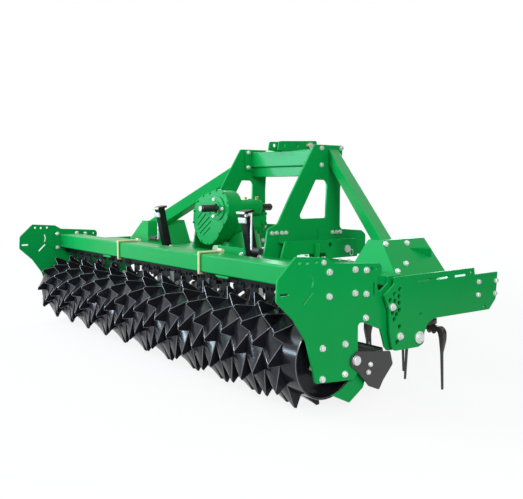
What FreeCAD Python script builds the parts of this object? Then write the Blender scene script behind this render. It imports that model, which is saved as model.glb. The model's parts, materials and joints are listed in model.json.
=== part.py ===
"""Power harrow, three metres wide, with a toothed packer roller.

Millimetres. +X is the machine's right side, +Y is forward, +Z is up and z = 0 is the ground.
The drawing is made with y = 0 on the line of the rotors. Each piece is then moved along Y, so
that the origin lies under the middle of the whole machine.
"""
import FreeCAD
import Part
import math
import os

V = FreeCAD.Vector
ALONG_X, ALONG_Y, ALONG_Z = V(1, 0, 0), V(0, 1, 0), V(0, 0, 1)

# ---- fits and clearances
RUNNING = 0.05          # radial clearance of a shaft in its bearing
PIN_FIT = 0.3           # gap between a pin or strap and the piece that it holds
SIDE_GAP = 15.0         # between a roller arm and the end plate outside it
ARM_GAP = 5.0           # between a roller arm and the cheek inside it
TOOTH_GAP = 6.0         # between the roller's teeth and what they pass

# ---- tine bed: trough, end plates and rear rail
ROTORS = 12
ROTOR_PITCH = 262.0
BED_END = 104.0         # from the last rotor's axis to the end of the trough
TROUGH_HALF = (ROTORS - 1) / 2 * ROTOR_PITCH + BED_END
TROUGH_TOP = 558.0
TROUGH_DEPTH = 174.0
TROUGH_BOTTOM = TROUGH_TOP - TROUGH_DEPTH
TROUGH_TOP_HALF = 205.0
TROUGH_FLOOR_HALF = 150.0
TROUGH_CORNER = 30.0
FLANGE_HALF = 245.0
FLANGE_T = 12.0
BEARING_R = 62.0        # round bearing boss under the trough
BEARING_DROP = 18.0
END_T = 12.0            # thickness of the end plates
END_NOSE = 208.0        # the end plates reach past the front flange by this
RAIL_DEPTH = 98.0       # rail along the rear of the trough
RAIL_H = 50.0
RAIL_WALL = 5.0
CHEEK_T = 10.0          # plates at the ends of the rail

# ---- rotors
SHAFT_R = 30.0
SHAFT_IN = 70.0         # length of shaft inside the trough
HEAD_GAP = 6.0
HEAD_R = 62.0
HEAD_H = 42.0
TINE_ROOT = 18.0        # inner end of the tine's shank, from the rotor's axis
TINE_SHANK = 26.0       # depth of the shank
TINE_W = 30.0           # width of the shank
TINE_TIP_W = 11.0
TINE_T = 12.0           # thickness of the blade below its bend
TINE_REACH = 127.0      # outermost radius of the tine's bend
TINE_NECK = 106.0       # inner radius of the blade at its neck
TINE_NECK_Z = 185.0
TINE_TIP = 118.0        # inner radius at the tine's point
TINE_LEAD = 15.0        # degrees that each rotor is set on from the one on its right

# ---- roller
ROLLER_Y = -719.0
ROLLER_R = 250.0        # over the tooth tips
CORE_R = 183.0          # at the tooth roots
TEETH = 11
RING_PITCH = 125.0
RING_TURN = 18.03       # degrees that each ring is turned on from the one on its left
TOOTH_LEAN = 26.6       # degrees from a tooth's root to its tip
TOOTH_LAND = 4.4        # degrees across the blunt tip
ROLLER_START = 20.0     # degrees of the first root of the leftmost ring
DRUM_WALL = 10.0
DRUM_RECESS = 45.0
DISC_T = 8.0
ARC_STEPS = 4           # facets of the skin from one root to the next
JOURNAL_R = 30.0
BEARING_DEEP = 30.0     # depth of the roller's bearings, inwards from the side plates
ROLLER_PLAIN = 100.0    # least plain length between the last ring and the drum's end

# ---- roller frame
SIDE_T = 12.0
SIDE_OUT = TROUGH_HALF - SIDE_GAP       # outer face of the side plates
SIDE_IN = SIDE_OUT - SIDE_T
ROLLER_HALF = SIDE_IN - BEARING_DEEP - TOOTH_GAP
RINGS = 2 * int((ROLLER_HALF - ROLLER_PLAIN) / RING_PITCH) + 1
HUB_Y, HUB_Z = -186.0, 291.0
HUB_R = 20.0
HUB_WASHER_R = 30.0
HUB_LOBE = 43.0         # from the pivot to the edge of its plates
BEAM_W, BEAM_H = 130.0, 100.0
BEAM_Y0 = ROLLER_Y - 21.0
BEAM_Z0 = 2 * ROLLER_R + 45.0
BEAM_WALL = 6.0
BEAM_FLANGE_T = 10.0
STOP_R = 11.0
STOP_SWING = 8.0        # degrees that the roller may drop
UBOLT_X = 488.0
UBOLT_R = 7.0
LUG_X = 690.0           # tabs under the crossbeam
SCRAPER_T = 5.0
SCRAPER_W = 70.0
SCRAPER_Y = BEAM_Y0 + 50.0

# ---- headstock
HEAD_OUT = 403.0        # outer face of the headstock plates
HEAD_T = 15.0
HEAD_TOP = 1276.0
HEAD_REAR = -231.0      # rear edge of the headstock plates at their foot
NOSE_Y = 650.0          # front edge of the headstock plates
LINK_GAP = 82.0         # between a headstock plate and its outer link plate
LINK_T = 15.0
LINK_PIN_R = 14.0
LINK_PIN_Y, LINK_PIN_Z = 378.0, 612.0
LINK_SPARE_Y, LINK_SPARE_Z = 232.0, 645.0
LINK_FRONT = 473.0      # front edge of the link plates
SPACER_R = 22.0
SHELF_T = 8.0
TUBE_Y0, TUBE_W = 262.0, 130.0
TUBE_H = 106.0
TUBE_Z0 = HEAD_TOP - TUBE_H - 22.0     # the tube's top lies below the tops of the plates
TUBE_WALL = 6.0
EAR_OUT, EAR_T = 56.0, 12.0
TOP_PIN_R = 12.7
TOP_HOLES_Y = (217.0, 332.0)
TOP_PIN_Y, TOP_PIN_Z = 455.0, HEAD_TOP + 14.0
STRUT_W = 84.0
STRUT_WALL = 6.0
FOOT_H = 180.0
FOOT_FRONT = 190.0
FOOT_END = 115.0        # from the trough's end to the foot's outer lower edge
STRUT_TOP = V(HEAD_OUT, TUBE_Y0 + 77, HEAD_TOP - 71)
STRUT_FOOT = V(TROUGH_HALF - 305, -68, TROUGH_TOP + 130)

# ---- drive
PTO_Z = 873.0
PTO_R = 17.45
SHAFT_STEP = 8.0        # the shaft is thicker than its stubs by this
STUB_FRONT, STUB_REAR = 151.0, -420.0
SHAFT_FRONT, SHAFT_REAR = 50.0, -284.0
PINION_X = -ROTOR_PITCH / 2
PINION_Z = 795.0
CASE_REAR, CASE_FRONT = -275.0, -168.0
CASE_R = 111.0          # round the through shaft
CASE_LOW_R = 156.0      # round the pinion shaft
BEVEL_R = 122.0         # housing of the bevel gears
BEVEL_FRONT = 120.0
COVER_T = 10.0
COVER_RIM = 9.0         # the cover's flange stands out by this

# ---- levelling board and its jacks
JACK_X = 490.0
JACK_TOP_Y, JACK_TOP_Z = -433.0, 874.0
JACK_LEAN = 11.4        # degrees from upright, foot forward
JACK_W = 50.0
JACK_WALL = 5.0
JACK_LENGTH = 330.0
JACK_CAP = 12.0
ROD_FIT = 0.3           # gap on each side between the rod and its tube
ROD_FROM, ROD_TO = 190.0, 655.0
BOARD_H = 140.0
BOARD_GAP = 90.0        # between the board's ends and the side plates
BOARD_HALF = SIDE_IN - BOARD_GAP
BOARD_T = 8.0
BOARD_LIP = 50.0

# ---- side deflectors
DEFLECTOR_Y, DEFLECTOR_Z = ROLLER_Y + ROLLER_R - 122.0, ROLLER_R - 14.0     # its pivot
DEFLECTOR_GAP = 2.0
DEFLECTOR_T = 6.0
DEFLECTOR_PIN_R = 14.0
DEFLECTOR_REACH = 158.0     # radius of the blade's edge about the roller's axis
BLADE_X = SIDE_IN - 10.0    # outer face of the blade
SHELF_IN = (RINGS - 1) / 2 * RING_PITCH + 11    # inner end of the bracket's shelf, beside the last ring
SHELF_Y = ROLLER_Y + ROLLER_R + TOOTH_GAP       # rear edge of the shelf, clear of the teeth
SHELF_FRONT = DEFLECTOR_Y + 176.0               # front edge of the shelf

REAR_EDGE = ROLLER_Y - 327.0    # rearmost point of the side plates
MIDDLE_Y = (REAR_EDGE + NOSE_Y) / 2


def box(x0, x1, y0, y1, z0, z1):
    return Part.makeBox(x1 - x0, y1 - y0, z1 - z0, V(x0, y0, z0))


def rod_x(y, z, r, x0, x1):
    return Part.makeCylinder(r, x1 - x0, V(x0, y, z), ALONG_X)


def rod_y(x, z, r, y0, y1):
    return Part.makeCylinder(r, y1 - y0, V(x, y0, z), ALONG_Y)


def rod_z(x, y, r, z0, z1):
    return Part.makeCylinder(r, z1 - z0, V(x, y, z0), ALONG_Z)


def outline(points, place):
    """Closed wire through corners (u, v, radius), each rounded by its radius, put in space by place."""
    edges = []
    flat = [V(u, v, 0) for u, v, _ in points]
    tangents = []
    for i, (u, v, radius) in enumerate(points):
        corner, before, after = flat[i], flat[i - 1], flat[(i + 1) % len(points)]
        back, ahead = (before - corner).normalize(), (after - corner).normalize()
        half = back.getAngle(ahead) / 2
        if radius == 0:
            tangents.append((corner, None, corner))
            continue
        leg = radius / math.tan(half)
        middle = (back + ahead).normalize() * (radius / math.sin(half) - radius)
        tangents.append((corner + back * leg, corner + middle, corner + ahead * leg))
    for i, (start, middle, end) in enumerate(tangents):
        if middle is not None:
            edges.append(Part.Arc(place(start), place(middle), place(end)).toShape())
        onward = tangents[(i + 1) % len(tangents)][0]
        if end.distanceToPoint(onward) > 1e-6:
            edges.append(Part.LineSegment(place(end), place(onward)).toShape())
    return Part.Wire(edges)


def plate_x(points, x0, x1):
    """Plate whose outline lies in Y and Z, between two values of X."""
    wire = outline(points, lambda p: V(x0, p.x, p.y))
    return Part.Face(wire).extrude(V(x1 - x0, 0, 0))


def plate_y(points, y0, y1):
    """Plate whose outline lies in X and Z, between two values of Y."""
    wire = outline(points, lambda p: V(p.x, y0, p.y))
    return Part.Face(wire).extrude(V(0, y1 - y0, 0))


def about(y, z, points):
    """Corners given from a centre (y, z), as corners of the drawing."""
    return [(y + dy, z + dz, radius) for dy, dz, radius in points]


def hull_section(y0, y1, x, z, r, x2, z2, r2):
    """Outline of two circles and their outer tangents, between two values of Y."""
    along = math.atan2(z2 - z, x2 - x)
    spread = math.acos((r - r2) / math.hypot(x2 - x, z2 - z))

    def on(cx, cz, radius, angle):
        return V(cx + radius * math.cos(angle), y0, cz + radius * math.sin(angle))

    top, low = along + spread, along - spread
    edges = [
        Part.Arc(on(x, z, r, top), on(x, z, r, along + math.pi), on(x, z, r, low)).toShape(),
        Part.LineSegment(on(x, z, r, low), on(x2, z2, r2, low)).toShape(),
        Part.Arc(on(x2, z2, r2, low), on(x2, z2, r2, along), on(x2, z2, r2, top)).toShape(),
        Part.LineSegment(on(x2, z2, r2, top), on(x, z, r, top)).toShape(),
    ]
    return Part.Face(Part.Wire(edges)).extrude(V(0, y1 - y0, 0))


def mirrored(shape):
    return shape.mirror(V(0, 0, 0), ALONG_X)


def slot_x(y, z, y2, z2, r, x0, x1):
    """Straight slot of half width r between two centres, to be cut through X."""
    angle = math.atan2(z2 - z, y2 - y)
    length = math.hypot(z2 - z, y2 - y)
    nose = r * 0.99
    points = [(-r, -r, nose), (length + r, -r, nose), (length + r, r, nose), (-r, r, nose)]
    slot = plate_x(points, x0, x1)
    slot.rotate(V(0, 0, 0), ALONG_X, math.degrees(angle))
    slot.translate(V(0, y, z))
    return slot


def arc_slot(centre_y, centre_z, y, z, swing, r, x0, x1):
    """Slot of half width r from (y, z) turned by swing degrees about a centre, to be cut through X."""
    radius = math.hypot(y - centre_y, z - centre_z)
    start = math.degrees(math.atan2(z - centre_z, y - centre_y))
    sector = Part.makeCylinder(radius + r, x1 - x0, V(0, 0, 0), ALONG_Z, abs(swing))
    sector = sector.cut(Part.makeCylinder(radius - r, x1 - x0))
    sector.rotate(V(0, 0, 0), V(1, 1, 1), 120)
    sector.rotate(V(0, 0, 0), ALONG_X, min(start, start + swing))
    sector.translate(V(x0, centre_y, centre_z))
    for angle in (start, start + swing):
        a = math.radians(angle)
        end = rod_x(centre_y + radius * math.cos(a), centre_z + radius * math.sin(a), r, x0, x1)
        sector = sector.fuse(end)
    return sector


# ---------------------------------------------------------------- tine bed

def rotor_places():
    return [(i - (ROTORS - 1) / 2) * ROTOR_PITCH for i in range(ROTORS)]


def trough():
    """Gear trough: a closed channel with a top flange, and a bearing boss over each rotor."""
    shoulder = TROUGH_TOP - FLANGE_T
    profile = [
        (-FLANGE_HALF, TROUGH_TOP, 0), (FLANGE_HALF, TROUGH_TOP, 0), (FLANGE_HALF, shoulder, 0),
        (TROUGH_TOP_HALF, shoulder, 0), (TROUGH_FLOOR_HALF, TROUGH_BOTTOM, TROUGH_CORNER),
        (-TROUGH_FLOOR_HALF, TROUGH_BOTTOM, TROUGH_CORNER), (-TROUGH_TOP_HALF, shoulder, 0),
        (-FLANGE_HALF, shoulder, 0)]
    body = plate_x(profile, -TROUGH_HALF, TROUGH_HALF)
    boss_low = TROUGH_BOTTOM - BEARING_DROP
    for x in rotor_places():
        body = body.fuse(rod_z(x, 0, BEARING_R, boss_low, TROUGH_BOTTOM + 1))
    for x in rotor_places():
        body = body.cut(rod_z(x, 0, SHAFT_R + RUNNING, boss_low - 1, TROUGH_BOTTOM + SHAFT_IN))
    return body.removeSplitter()


def rail_cheek():
    """Cheek at the right end of the rear rail. The roller arm moves between it and the end plate."""
    x1 = SIDE_IN - ARM_GAP
    rear = end_plate_rear()
    points = rear[:4] + [(rear[3][0] + 4, TROUGH_BOTTOM, 10), (-FLANGE_HALF, TROUGH_BOTTOM, 0),
                         (-FLANGE_HALF, rear[0][1], 0)]
    cheek = plate_x(points, x1 - CHEEK_T, x1)
    return drill_stops(cheek, x1 - CHEEK_T, x1)


def rear_rail():
    """Square rail along the rear flange of the trough, between its two cheeks."""
    half = SIDE_IN - ARM_GAP - CHEEK_T - PIN_FIT
    y1 = -FLANGE_HALF
    y0 = y1 - RAIL_DEPTH
    z0 = TROUGH_TOP - FLANGE_T
    z1 = z0 + RAIL_H
    w = RAIL_WALL
    rail = box(-half, half, y0, y1, z0, z1)
    rail = rail.cut(box(-half, half, y0 + w, y1 - w, z0 + w, z1 - w))
    return Part.makeCompound([rail, rail_cheek(), mirrored(rail_cheek())])


def end_plate_rear():
    """Rear corners of the end plates, from the top down to the foot of the stop holes."""
    return [(HUB_Y - 176, TROUGH_TOP + 38, 4), (HUB_Y - 176, TROUGH_TOP + 5, 4),
            (HUB_Y - 246, TROUGH_TOP - 42, 5), (HUB_Y - 213, HUB_Z + 156, 40)]


def end_plate():
    """Right end plate: closes the trough and carries the roller arm's pivot and its stop holes."""
    x0, x1 = TROUGH_HALF, TROUGH_HALF + END_T
    nose = FLANGE_HALF + END_NOSE
    lobe = about(HUB_Y, HUB_Z, [
        (-204, 40, 60), (-188, -24, 15), (-166, -43, 15), (0, -48, 30), (HUB_LOBE, -34, 25),
        (HUB_LOBE, 15, 20), (66, 59, 30)])
    front = [
        (HUB_Y + 120, TROUGH_BOTTOM - 14, 40), (nose - 66, TROUGH_BOTTOM - 20, 20),
        (nose - 10, TROUGH_BOTTOM + 32, 20), (nose, TROUGH_TOP + 2, 4), (FLANGE_HALF + 8, TROUGH_TOP + 2, 4),
        (FLANGE_HALF, TROUGH_TOP + 38, 4)]
    body = plate_x(end_plate_rear() + lobe + front, x0, x1)
    body = body.cut(rod_x(HUB_Y, HUB_Z, HUB_R + RUNNING, x0, x1))
    for y, z in stop_holes():
        body = body.cut(rod_x(y, z, STOP_R + RUNNING, x0, x1))
    body = drill_stops(body, x0, x1)
    for y in (-153, -10, 136):
        body = body.cut(slot_x(y - 46, TROUGH_TOP + 6, y + 46, TROUGH_TOP + 6, 5, x0, x1))
    spare_holes = [
        (HUB_Y + 13, HUB_Z + 110), (FLANGE_HALF - 22, TROUGH_TOP + 16), (nose - 107, TROUGH_BOTTOM - 3)]
    for y, z in spare_holes:
        body = body.cut(rod_x(y, z, 9, x0, x1))
    return body


def stop_holes():
    """Fan of spare holes for the stop pin, in three columns about the pivot."""
    fan = [(-140, 245), (-176, 225), (-145, 212), (-206, 200), (-174, 193), (-144, 181), (-167, 161),
           (-142, 148), (-188, 139), (-160, 129), (-176, 108), (-138, 69), (-154, -3)]
    return [(HUB_Y + dy, HUB_Z + dz) for dy, dz in fan]


def stop_places():
    return [(HUB_Y - 195, HUB_Z + 168), (HUB_Y - 140, HUB_Z + 24)]


def drill_stops(body, x0, x1):
    for y, z in stop_places():
        body = body.cut(rod_x(y, z, STOP_R + RUNNING, x0, x1))
    return body


def stop_pins():
    """Pins through the right end plate into the slots of the roller arm."""
    pins = []
    outer = TROUGH_HALF + END_T
    for (y, z), inner in zip(stop_places(), (SIDE_IN - ARM_GAP - CHEEK_T - 6, SIDE_IN - 4)):
        shank = rod_x(y, z, STOP_R, inner, outer)
        pins.append(shank.fuse(rod_x(y, z, STOP_R + 7, outer, outer + 9)))
    return Part.makeCompound(pins)


def hub_pin():
    """Pivot pin of the right roller arm, with its head outside and a washer on each side of the arm."""
    outer = TROUGH_HALF + END_T
    pin = rod_x(HUB_Y, HUB_Z, HUB_R, SIDE_IN - 9, outer + 21)
    pin = pin.fuse(rod_x(HUB_Y, HUB_Z, HUB_WASHER_R, outer, outer + 10))
    pin = pin.fuse(rod_x(HUB_Y, HUB_Z, HUB_WASHER_R, SIDE_OUT + PIN_FIT, TROUGH_HALF))
    return pin.fuse(rod_x(HUB_Y, HUB_Z, HUB_WASHER_R, SIDE_IN - 9, SIDE_IN - PIN_FIT))


def front_cleat():
    """Angle at the right front corner, between the end plate and the trough."""
    x1, y1 = TROUGH_HALF, FLANGE_HALF + END_NOSE - 6
    low, high = TROUGH_BOTTOM + 36, TROUGH_TOP - 10
    upright = plate_x([(FLANGE_HALF, low + 60, 0), (FLANGE_HALF, high, 0), (y1, high, 0), (y1, low, 10),
                       (FLANGE_HALF + 60, low, 10)], x1 - 8, x1)
    shelf = plate_z([(x1, FLANGE_HALF, 0), (x1, y1, 0), (x1 - 30, y1, 10), (x1 - 90, FLANGE_HALF + 60, 20),
                     (x1 - 90, FLANGE_HALF, 0)], high - 8, high)
    return upright.fuse(shelf).removeSplitter()


def plate_z(points, z0, z1):
    """Plate whose outline lies in X and Y, between two heights."""
    wire = outline(points, lambda p: V(p.x, p.y, z0))
    return Part.Face(wire).extrude(V(0, 0, z1 - z0))


# ---------------------------------------------------------------- rotors

def head_top():
    return TROUGH_BOTTOM - BEARING_DROP - HEAD_GAP


def rotor_head(x):
    """Shaft and head of one rotor. The head is a thick disc with a tapered top."""
    top = head_top()
    low = top - HEAD_H
    rim = low + HEAD_H * 0.6
    profile = [
        (0, low, 0), (HEAD_R - 4, low, 0), (HEAD_R, low + 4, 0), (HEAD_R, rim, 0), (HEAD_R - 10, top - 4, 0),
        (HEAD_R - 14, top, 0), (SHAFT_R, top, 0), (SHAFT_R, TROUGH_BOTTOM + SHAFT_IN - 2, 0),
        (0, TROUGH_BOTTOM + SHAFT_IN - 2, 0)]
    half = Part.Face(outline(profile, lambda p: V(p.x, 0, p.y)))
    head = half.revolve(V(0, 0, 0), ALONG_Z, 360)
    head.translate(V(x, 0, 0))
    return head


def tine(x):
    """One tine: a thick shank under the head, a round bend, and a blade that tapers both ways."""
    top = head_top() - HEAD_H
    shank = top - TINE_SHANK
    side = [
        (TINE_ROOT, top, 0), (TINE_REACH, top, 36), (TINE_REACH + 3, top - 66, 60),
        (TINE_NECK + TINE_T, TINE_NECK_Z, 90), (TINE_TIP + TINE_T * 0.6, 0, 4),
        (TINE_TIP - TINE_T * 0.2, 0, 4),
        (TINE_NECK, TINE_NECK_Z, 90), (TINE_REACH - 26, shank - 30, 40), (TINE_REACH - 34, shank, 14),
        (TINE_ROOT, shank, 0)]
    profile = plate_y(side, -TINE_W / 2, TINE_W / 2)
    wide, slim = TINE_W / 2, TINE_TIP_W / 2
    front = [(-wide, top + 1, 0), (-wide, shank - 20, 60), (-slim * 1.3, TINE_NECK_Z, 90), (-slim, -1, 0),
             (slim, -1, 0), (slim * 1.3, TINE_NECK_Z, 90), (wide, shank - 20, 60), (wide, top + 1, 0)]
    blade = profile.common(plate_x(front, 0, TINE_REACH + 20))
    blade.translate(V(x, 0, 0))
    return blade


def tine_pair(x, from_right):
    """The two tines of a rotor. Neighbours turn opposite ways and stand about square to each other."""
    first, second = tine(x), tine(x)
    second.rotate(V(x, 0, 0), ALONG_Z, 180)
    tines = Part.makeCompound([first, second])
    angle = TINE_LEAD * from_right
    if from_right % 2:
        angle = 90 - angle
    tines.rotate(V(x, 0, 0), ALONG_Z, angle)
    return tines


# ---------------------------------------------------------------- roller

def on_roller(x, r, angle):
    a = math.radians(angle)
    return V(x, ROLLER_Y + r * math.cos(a), ROLLER_R + r * math.sin(a))


def facet(*corners):
    return Part.Face(Part.makePolygon(list(corners) + [corners[0]]))


def ring_planes():
    half = (RINGS - 1) / 2
    return [(k - half) * RING_PITCH for k in range(RINGS)]


def root_arc(x, start):
    """Points of the drum's circle from one root to the next."""
    step = 360.0 / TEETH
    return [on_roller(x, CORE_R, start + step * i / ARC_STEPS) for i in range(ARC_STEPS + 1)]


def tooth(x_left, x, start):
    """Facets of one tooth: a leaning flank, a blunt tip, a steep return and the flat right side."""
    low = root_arc(x_left, start - RING_TURN)
    foot = root_arc(x, start)
    tip = on_roller(x, ROLLER_R, start + TOOTH_LEAN)
    land = on_roller(x, ROLLER_R, start + TOOTH_LEAN + TOOTH_LAND)
    edge = [foot[0] + (tip - foot[0]) * (i / ARC_STEPS) for i in range(ARC_STEPS + 1)]
    faces = []
    for i in range(ARC_STEPS):
        faces.append(facet(low[i], edge[i], low[i + 1]))
        faces.append(facet(edge[i], edge[i + 1], low[i + 1]))
    faces.append(facet(low[-1], tip, land))
    faces.append(facet(low[-1], land, foot[-1]))
    faces.append(facet(*(edge + [land] + foot[:0:-1])))
    return faces


def toothed_skin():
    """Closed skin of folded facets.

    Each ring rises from the drum's circle on its left to a star on its right. The star's roots are
    turned on by RING_TURN from the ring before it, and its teeth lean over each side.
    """
    step = 360.0 / TEETH
    faces = []
    x_left = -ROLLER_HALF
    start = ROLLER_START - RING_TURN
    rim = [p for j in range(TEETH) for p in root_arc(x_left, start + j * step)[:-1]]
    faces.append(facet(*reversed(rim)))
    for x in ring_planes():
        start += RING_TURN
        for j in range(TEETH):
            faces += tooth(x_left, x, start + j * step)
        x_left = x
    rim = [p for j in range(TEETH) for p in root_arc(x_left, start + j * step)[:-1]]
    right = [V(ROLLER_HALF, p.y, p.z) for p in rim]
    for i in range(len(rim)):
        faces.append(facet(rim[i - 1], right[i - 1], right[i], rim[i]))
    faces.append(facet(*right))
    solid = Part.Solid(Part.Shell(faces))
    if solid.Volume < 0:
        solid.reverse()
    return solid


def roller():
    """Packer roller: toothed skin over a hollow drum, with end discs and journals."""
    body = toothed_skin()
    inside = CORE_R * math.cos(math.pi / TEETH / ARC_STEPS) - DRUM_WALL
    disc = ROLLER_HALF - DRUM_RECESS
    for x0, x1 in ((-ROLLER_HALF - 1, -disc), (-disc + DISC_T, disc - DISC_T), (disc, ROLLER_HALF + 1)):
        body = body.cut(rod_x(ROLLER_Y, ROLLER_R, inside, x0, x1))
    for side in (-1, 1):
        x0, x1 = sorted((side * (disc - DISC_T), side * (SIDE_IN - 1)))
        body = body.fuse(rod_x(ROLLER_Y, ROLLER_R, JOURNAL_R, x0, x1))
    return body


def bearing():
    """Flanged bearing of the right journal, bolted inside the side plate."""
    reach = JOURNAL_R + 58
    flange = about(ROLLER_Y, ROLLER_R, [(-reach, -reach, 22), (reach, -reach, 22), (reach, reach, 22),
                                        (-reach, reach, 22)])
    body = plate_x(flange, SIDE_IN - 12, SIDE_IN)
    body = body.fuse(rod_x(ROLLER_Y, ROLLER_R, JOURNAL_R * 2, SIDE_IN - BEARING_DEEP, SIDE_IN - 12))
    return body.cut(rod_x(ROLLER_Y, ROLLER_R, JOURNAL_R + RUNNING, SIDE_IN - BEARING_DEEP - 1, SIDE_IN))


# ---------------------------------------------------------------- roller frame

def side_plate():
    """Right side plate and roller arm in one: it runs from the roller's bearing to the pivot."""
    x0, x1 = SIDE_IN, SIDE_OUT
    beam_y, beam_z = BEAM_Y0, BEAM_Z0 + BEAM_H
    rear = about(beam_y, beam_z, [
        (19, 39, 12), (-26, 66, 12), (-202, 79, 12), (-300, -11, 20), (-306, -100, 20), (-210, -189, 60),
        (-140, -290, 80)])
    foot = about(ROLLER_Y, ROLLER_R, [(-119, -40, 80), (-110, -82, 15)])
    foot += about(DEFLECTOR_Y, ROLLER_R, [(-7, -103, 25), (19, -75, 20)])
    foot += about(DEFLECTOR_Y, HUB_Z, [(18, 113, 18), (53, 110, 30)])
    shelf = SHELF_FRONT - HUB_Y         # the arm's lower corner keeps clear of the bracket's shelf
    arm = about(HUB_Y, HUB_Z, [
        (-239, 65, 8), (shelf + 7, 19, 20), (shelf + 21, -23, 15), (shelf + 41, -44, 15), (0, -44, 30),
        (HUB_LOBE - 2, -30, 20), (HUB_LOBE - 2, 30, 20), (-44, 130, 30), (-130, 226, 20), (-232, 226, 10),
        (-264, 257, 20), (-264, 312, 4), (-236, 312, 26),
        (-236, 372, 26)])
    body = plate_x(rear + foot + arm, x0, x1)
    body = body.cut(rod_x(HUB_Y, HUB_Z, HUB_R + PIN_FIT, x0, x1))
    for y, z in stop_places():
        body = body.cut(arc_slot(HUB_Y, HUB_Z, y, z, -STOP_SWING, STOP_R + 1.5, x0, x1))
    holes = [(-182, 53), (-138, 50), (-90, 51), (254, -4), (286, -6)]
    for dy, dz in holes:
        body = body.cut(rod_x(beam_y + dy, beam_z + dz, 8, x0, x1))
    for y, z, y2, z2 in plate_slots():
        body = body.cut(slot_x(y, z, y2, z2, 5, x0, x1))
    body = body.cut(arc_slot(beam_y - 165, beam_z - 29, beam_y - 111, beam_z - 4, -50, 4, x0, x1))
    return body.cut(rod_x(DEFLECTOR_Y, DEFLECTOR_Z, DEFLECTOR_PIN_R + RUNNING, x0, x1))


def plate_slots():
    """Ends of the straight slots of the side plate, from the crossbeam's upper rear edge."""
    y, z = BEAM_Y0, BEAM_Z0 + BEAM_H
    slots = [(-111, -80, -156, -123), (-283, -74, -243, -74), (266, -72, 267, -121)]
    return [(y + a, z + b, y + c, z + d) for a, b, c, d in slots]


def arm_doubler():
    """Stiffening plate bolted inside the right arm."""
    points = about(HUB_Y, HUB_Z, [(-370, 369, 10), (-370, 119, 10), (-274, 99, 10), (-274, 369, 10)])
    return plate_x(points, SIDE_IN - 8, SIDE_IN)


def crossbeam():
    """Rectangular beam between the side plates, with a bolted flange at each end and two tabs below."""
    y1, z1 = BEAM_Y0 + BEAM_W, BEAM_Z0 + BEAM_H
    w = BEAM_WALL
    beam = box(-SIDE_IN, SIDE_IN, BEAM_Y0, y1, BEAM_Z0, z1)
    beam = beam.cut(box(-SIDE_IN, SIDE_IN, BEAM_Y0 + w, y1 - w, BEAM_Z0 + w, z1 - w))
    for side in (-1, 1):
        x0, x1 = sorted((side * SIDE_IN, side * (SIDE_IN - BEAM_FLANGE_T)))
        beam = beam.fuse(box(x0, x1, BEAM_Y0 - 36, y1 + 28, BEAM_Z0 - 20, z1 + 19))
        tab = [(-63, 0, 0), (63, 0, 0), (50, -14, 12), (-50, -14, 12)]
        tab = [(side * LUG_X + dx, BEAM_Z0 + dz, radius) for dx, dz, radius in tab]
        beam = beam.fuse(plate_y(tab, BEAM_Y0 + w, BEAM_Y0 + w + 10))
    return beam.removeSplitter()


def u_bolt(x):
    """Square U-bolt round the crossbeam, its legs joined by a strap in front."""
    gap = PIN_FIT
    r = UBOLT_R
    y0, y1 = BEAM_Y0 - r - gap, BEAM_Y0 + BEAM_W + 30
    z0, z1 = BEAM_Z0 - r - gap, BEAM_Z0 + BEAM_H + r + gap
    body = rod_z(x, y0, r, z0, z1)
    for z in (z0, z1):
        body = body.fuse(rod_y(x, z, r, y0, y1))
        body = body.fuse(Part.makeSphere(r, V(x, y0, z)))
    front = BEAM_Y0 + BEAM_W + gap
    return body.fuse(box(x - 18, x + 18, front, front + 10, z0 - 14, z1 + 14))


def scraper_bar():
    """Angle bar under the crossbeam, notched for the U-bolts. Every scraper is bolted to it."""
    half = SIDE_IN - BEAM_FLANGE_T - 2
    y0, low = SCRAPER_Y, 2 * ROLLER_R + TOOTH_GAP
    bar = box(-half, half, y0, y0 + 50, BEAM_Z0 - 8, BEAM_Z0)
    bar = bar.fuse(box(-half, half, y0, y0 + 8, low, BEAM_Z0)).removeSplitter()
    notch = UBOLT_R + 3
    for x in (-UBOLT_X, UBOLT_X):
        bar = bar.cut(box(x - notch, x + notch, y0 - 1, y0 + 51, BEAM_Z0 - 2 * UBOLT_R - 6, BEAM_Z0 + 1))
    return bar


def scraper(x):
    """Blade behind the bar, to the right of one ring. Its edge follows the skin of the next ring."""
    rise = (ROLLER_R - CORE_R) / RING_PITCH
    y1 = SCRAPER_Y
    off = y1 - ROLLER_Y

    def edge(dx):
        reach = CORE_R + rise * dx + TOOTH_GAP
        return ROLLER_R + math.sqrt(reach ** 2 - off ** 2)

    x0, x1 = TOOTH_GAP + 2, TOOTH_GAP + 2 + SCRAPER_W
    top = BEAM_Z0 - 2 * UBOLT_R - 8
    points = [(x + x0, edge(x0), 0), (x + x1, edge(x1), 0), (x + x1, top, 6), (x + x0, top, 6)]
    return plate_y(points, y1 - SCRAPER_T, y1)


def scrapers():
    return Part.makeCompound([scraper(x) for x in ring_planes()])


# ---------------------------------------------------------------- side deflectors

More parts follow.
